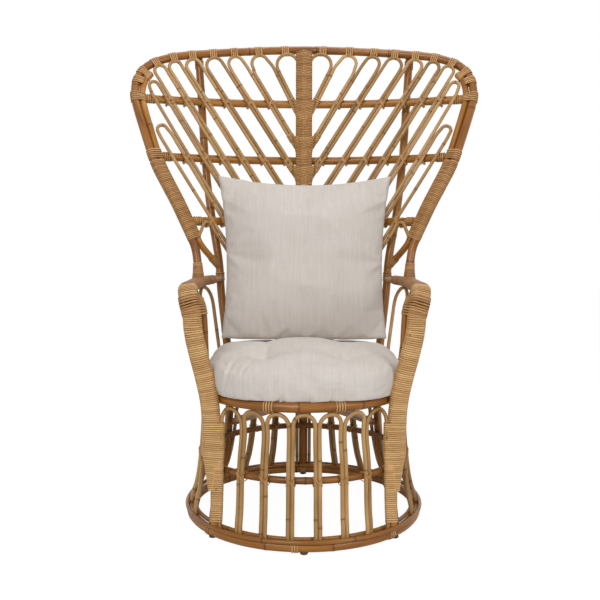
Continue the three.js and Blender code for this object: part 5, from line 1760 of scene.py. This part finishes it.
def fold_in(piece, folds):
    """Presses folds in along lines drawn in the camera's frame: a narrow dip with a soft roll on one side."""
    places, ways = places_of(piece), outward_ways(piece)
    toward = unit(np.array(camera.location) - places)
    faces_us = np.clip(np.sum(ways * toward, axis=1) * 3, 0, 1)
    spots = seen_from_front(places)
    for line, depth, width in folds:
        line = np.array(line, dtype=float)
        best, side, along = np.full(len(spots), 1e9), np.zeros(len(spots)), np.zeros(len(spots))
        for i, (start, end) in enumerate(zip(line[:-1], line[1:])):
            step = end - start
            share = np.clip(((spots - start) @ step) / (step @ step), 0, 1)
            off = spots - (start + share[:, None] * step)
            gap = np.hypot(off[:, 0], off[:, 1])
            nearer = gap < best
            best = np.where(nearer, gap, best)
            side = np.where(nearer, np.sign(step[0] * off[:, 1] - step[1] * off[:, 0]), side)
            along = np.where(nearer, (i + share) / (len(line) - 1), along)
        fade = np.sin(np.clip(along, 0.02, 0.98) * math.pi) ** 0.6 * faces_us
        dip = np.exp(-(best / width) ** 2) - 0.45 * np.exp(-((best - 2.4 * width) / (1.6 * width)) ** 2) * (side > 0)
        places -= ways * (depth * fade * dip)[:, None]
    put_places(piece, places)


put_places(pad, kept_inside(places_of(pad), seat_reach + 4 * mm))
subdivided(pad)
fold_in(pad, [
    ([(243, 352), (233, 362), (227, 374), (224, 389)], 4.5 * mm, 1.3),
    ([(254, 359), (246, 366), (240, 377)], 3.5 * mm, 1.2),
    ([(213, 356), (221, 352), (232, 350), (246, 352)], 3.0 * mm, 1.5),
    ([(265, 354), (268, 348), (272, 342)], 3.5 * mm, 1.4),
    ([(345, 357), (349, 349), (352, 344)], 3.5 * mm, 1.4),
    ([(300, 383), (330, 385), (372, 389)], 1.6 * mm, 1.0),
    ([(366, 354), (382, 352), (397, 358)], 3.0 * mm, 1.5),
    ([(369, 394), (380, 391), (389, 384)], 2.5 * mm, 1.2)])
finish_cushion(pad, "seat_cushion", "seat_cushion")

# %% [markdown]
# The back pillow is two squares of linen sewn together at their edges. A square that is filled draws in
# between its corners, because the fabric can't stretch, and that gives the four pointed ears. It has no
# piping. The two sheets share their rim of points, and that rim is the seam.

# %% The back pillow
pillow_low, pillow_high = (np.array(corner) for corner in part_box("back_pillow"))
pillow_middle = (pillow_low + pillow_high) / 2
pillow_lean = math.radians(14)
pillow_up = np.array([0.0, math.sin(pillow_lean), math.cos(pillow_lean)])
pillow_out = np.array([0.0, -math.cos(pillow_lean), math.sin(pillow_lean)])
pillow_side, pillow_depth = 500 * mm, 150 * mm
seam_depth = 5 * mm
pillow_corners = {(-1, 1): (-262 * mm, 250 * mm), (1, 1): (266 * mm, 249 * mm),
                  (-1, -1): (-243 * mm, -249 * mm), (1, -1): (245 * mm, -249 * mm)}


def pillow_sheets(count=84):
    marks = np.linspace(-1, 1, count + 1)
    u, w = (grid.ravel() for grid in np.meshgrid(marks, marks, indexing="ij"))
    swell = ((1 - u ** 2) * (1 - w ** 2)) ** 0.5
    across = (u - np.abs(u) * u * (1 - w ** 2) * 0.075) * (1 + 0.03 * w) * pillow_side / 2
    rise = (w - np.abs(w) * w * (1 - u ** 2) * np.where(w > 0, 0.115, -0.024)) * pillow_side / 2
    out = (pillow_depth * 0.4) * swell
    rim = (np.abs(u) > 0.9999) | (np.abs(w) > 0.9999)
    front = np.column_stack([across, rise, out + np.where(rim, 0, seam_depth / 2)])
    back = front * np.array([1, 1, -1])
    number = np.arange(len(u))
    behind = np.where(rim, number, len(u) + np.cumsum(~rim) - 1)
    places = np.vstack([front, back[~rim]])
    marks = np.column_stack([u, w])
    marks = np.vstack([marks, marks[~rim]])
    faces, row = [], count + 1
    for i in range(count):
        for j in range(count):
            quad = [i * row + j, (i + 1) * row + j, (i + 1) * row + j + 1, i * row + j + 1]
            faces.append(quad)
            faces.append([int(behind[k]) for k in quad[::-1]])
    return places, faces, marks


def from_pillow(local):
    return pillow_middle + local[:, :1] * np.array([1.0, 0, 0]) + local[:, 1:2] * pillow_up + local[:, 2:] * pillow_out


sheets, faces, marks = pillow_sheets()
pillow = shell("linen_back_pillow", from_pillow(sheets), faces)
seam = (np.abs(sheets[:, 2]) < 1e-6).astype(float)
filled(pillow, seam * 0.6, slack=0.03, cap=26 * mm, pressure=3.0)
offset = places_of(pillow) - pillow_middle
local = np.column_stack([offset[:, 0], offset @ pillow_up, offset @ pillow_out])
for (u, w), corner in pillow_corners.items():
    at_corner = np.argmin(np.abs(marks[:, 0] - u) + np.abs(marks[:, 1] - w))
    share = (1 + u * marks[:, 0]) * (1 + w * marks[:, 1]) / 4
    local[:, :2] += share[:, None] * (np.array(corner) - local[at_corner, :2])
local[:, 2] = np.clip(local[:, 2], -pillow_depth / 2 + 1 * mm, pillow_depth / 2 + 6 * mm)
put_places(pillow, from_pillow(local))
subdivided(pillow)
finish_cushion(pillow, "back_pillow", "back_pillow")

# %% [markdown]
# ## Floor, light and the last lines
#
# The photograph has a pure white ground. The floor is a plain white surface that keeps the chair's shadow,
# and the camera sees the world behind it as white. Large soft lamps light the chair from the front and above.

# %% Stage
def plain_white(name, glow):
    material = bpy.data.materials.new(name)
    material.use_nodes = True
    tree = material.node_tree
    shader = tree.nodes["Principled BSDF"]
    shader.inputs["Base Color"].default_value = (0.9, 0.9, 0.9, 1)
    shader.inputs["Roughness"].default_value = 0.9
    light = add_node(tree, "ShaderNodeEmission", {"Color": (1, 1, 1, 1), "Strength": 1.11})
    path = add_node(tree, "ShaderNodeLightPath")
    share = maths(tree, "MULTIPLY", path.outputs["Is Camera Ray"], glow)
    mix = add_node(tree, "ShaderNodeMixShader", {0: share, 1: shader.outputs[0], 2: light.outputs[0]})
    tree.links.new(mix.outputs[0], tree.nodes["Material Output"].inputs["Surface"])
    return material


floor_mesh = bpy.data.meshes.new("floor")
floor_mesh.from_pydata([(-6, -4, 0), (6, -4, 0), (6, 8, 0), (-6, 8, 0)], [], [(0, 1, 2, 3)])
floor = bpy.data.objects.new("floor", floor_mesh)
floor_mesh.materials.append(plain_white("white_floor", 0.85))
bpy.context.scene.collection.objects.link(floor)

world = bpy.data.worlds.new("white_room")
bpy.context.scene.world = world
world.use_nodes = True
room = world.node_tree
background = room.nodes["Background"]
background.inputs["Color"].default_value = (1, 1, 1, 1)
seen = add_node(room, "ShaderNodeLightPath")
direct = maths(room, "MAXIMUM", seen.outputs["Is Camera Ray"],
               maths(room, "MAXIMUM", seen.outputs["Is Glossy Ray"], seen.outputs["Is Transmission Ray"]))
room.links.new(maths(room, "ADD", maths(room, "MULTIPLY", direct, 0.68), 0.32), background.inputs["Strength"])

for name, place, aim, size, power in (
        ("front_softbox", (-0.9, -2.8, 2.3), (0, 0, 0.7), 1.4, 43),
        ("side_softbox", (1.9, -2.2, 1.6), (0, 0, 0.6), 1.2, 20),
        ("top_softbox", (0.2, 0.4, 3.0), (0, 0, 0.6), 1.6, 20)):
    lamp_data = bpy.data.lights.new(name, "AREA")
    lamp_data.size, lamp_data.energy = size, power
    lamp = bpy.data.objects.new(name, lamp_data)
    lamp.location = place
    offset = np.array(aim) - np.array(place)
    lamp.rotation_euler = (math.atan2(math.hypot(offset[0], offset[1]), -offset[2]), 0,
                           math.atan2(offset[0], -offset[1]) + math.pi)
    bpy.context.scene.collection.objects.link(lamp)
bpy.context.scene.view_settings.view_transform = "Standard"
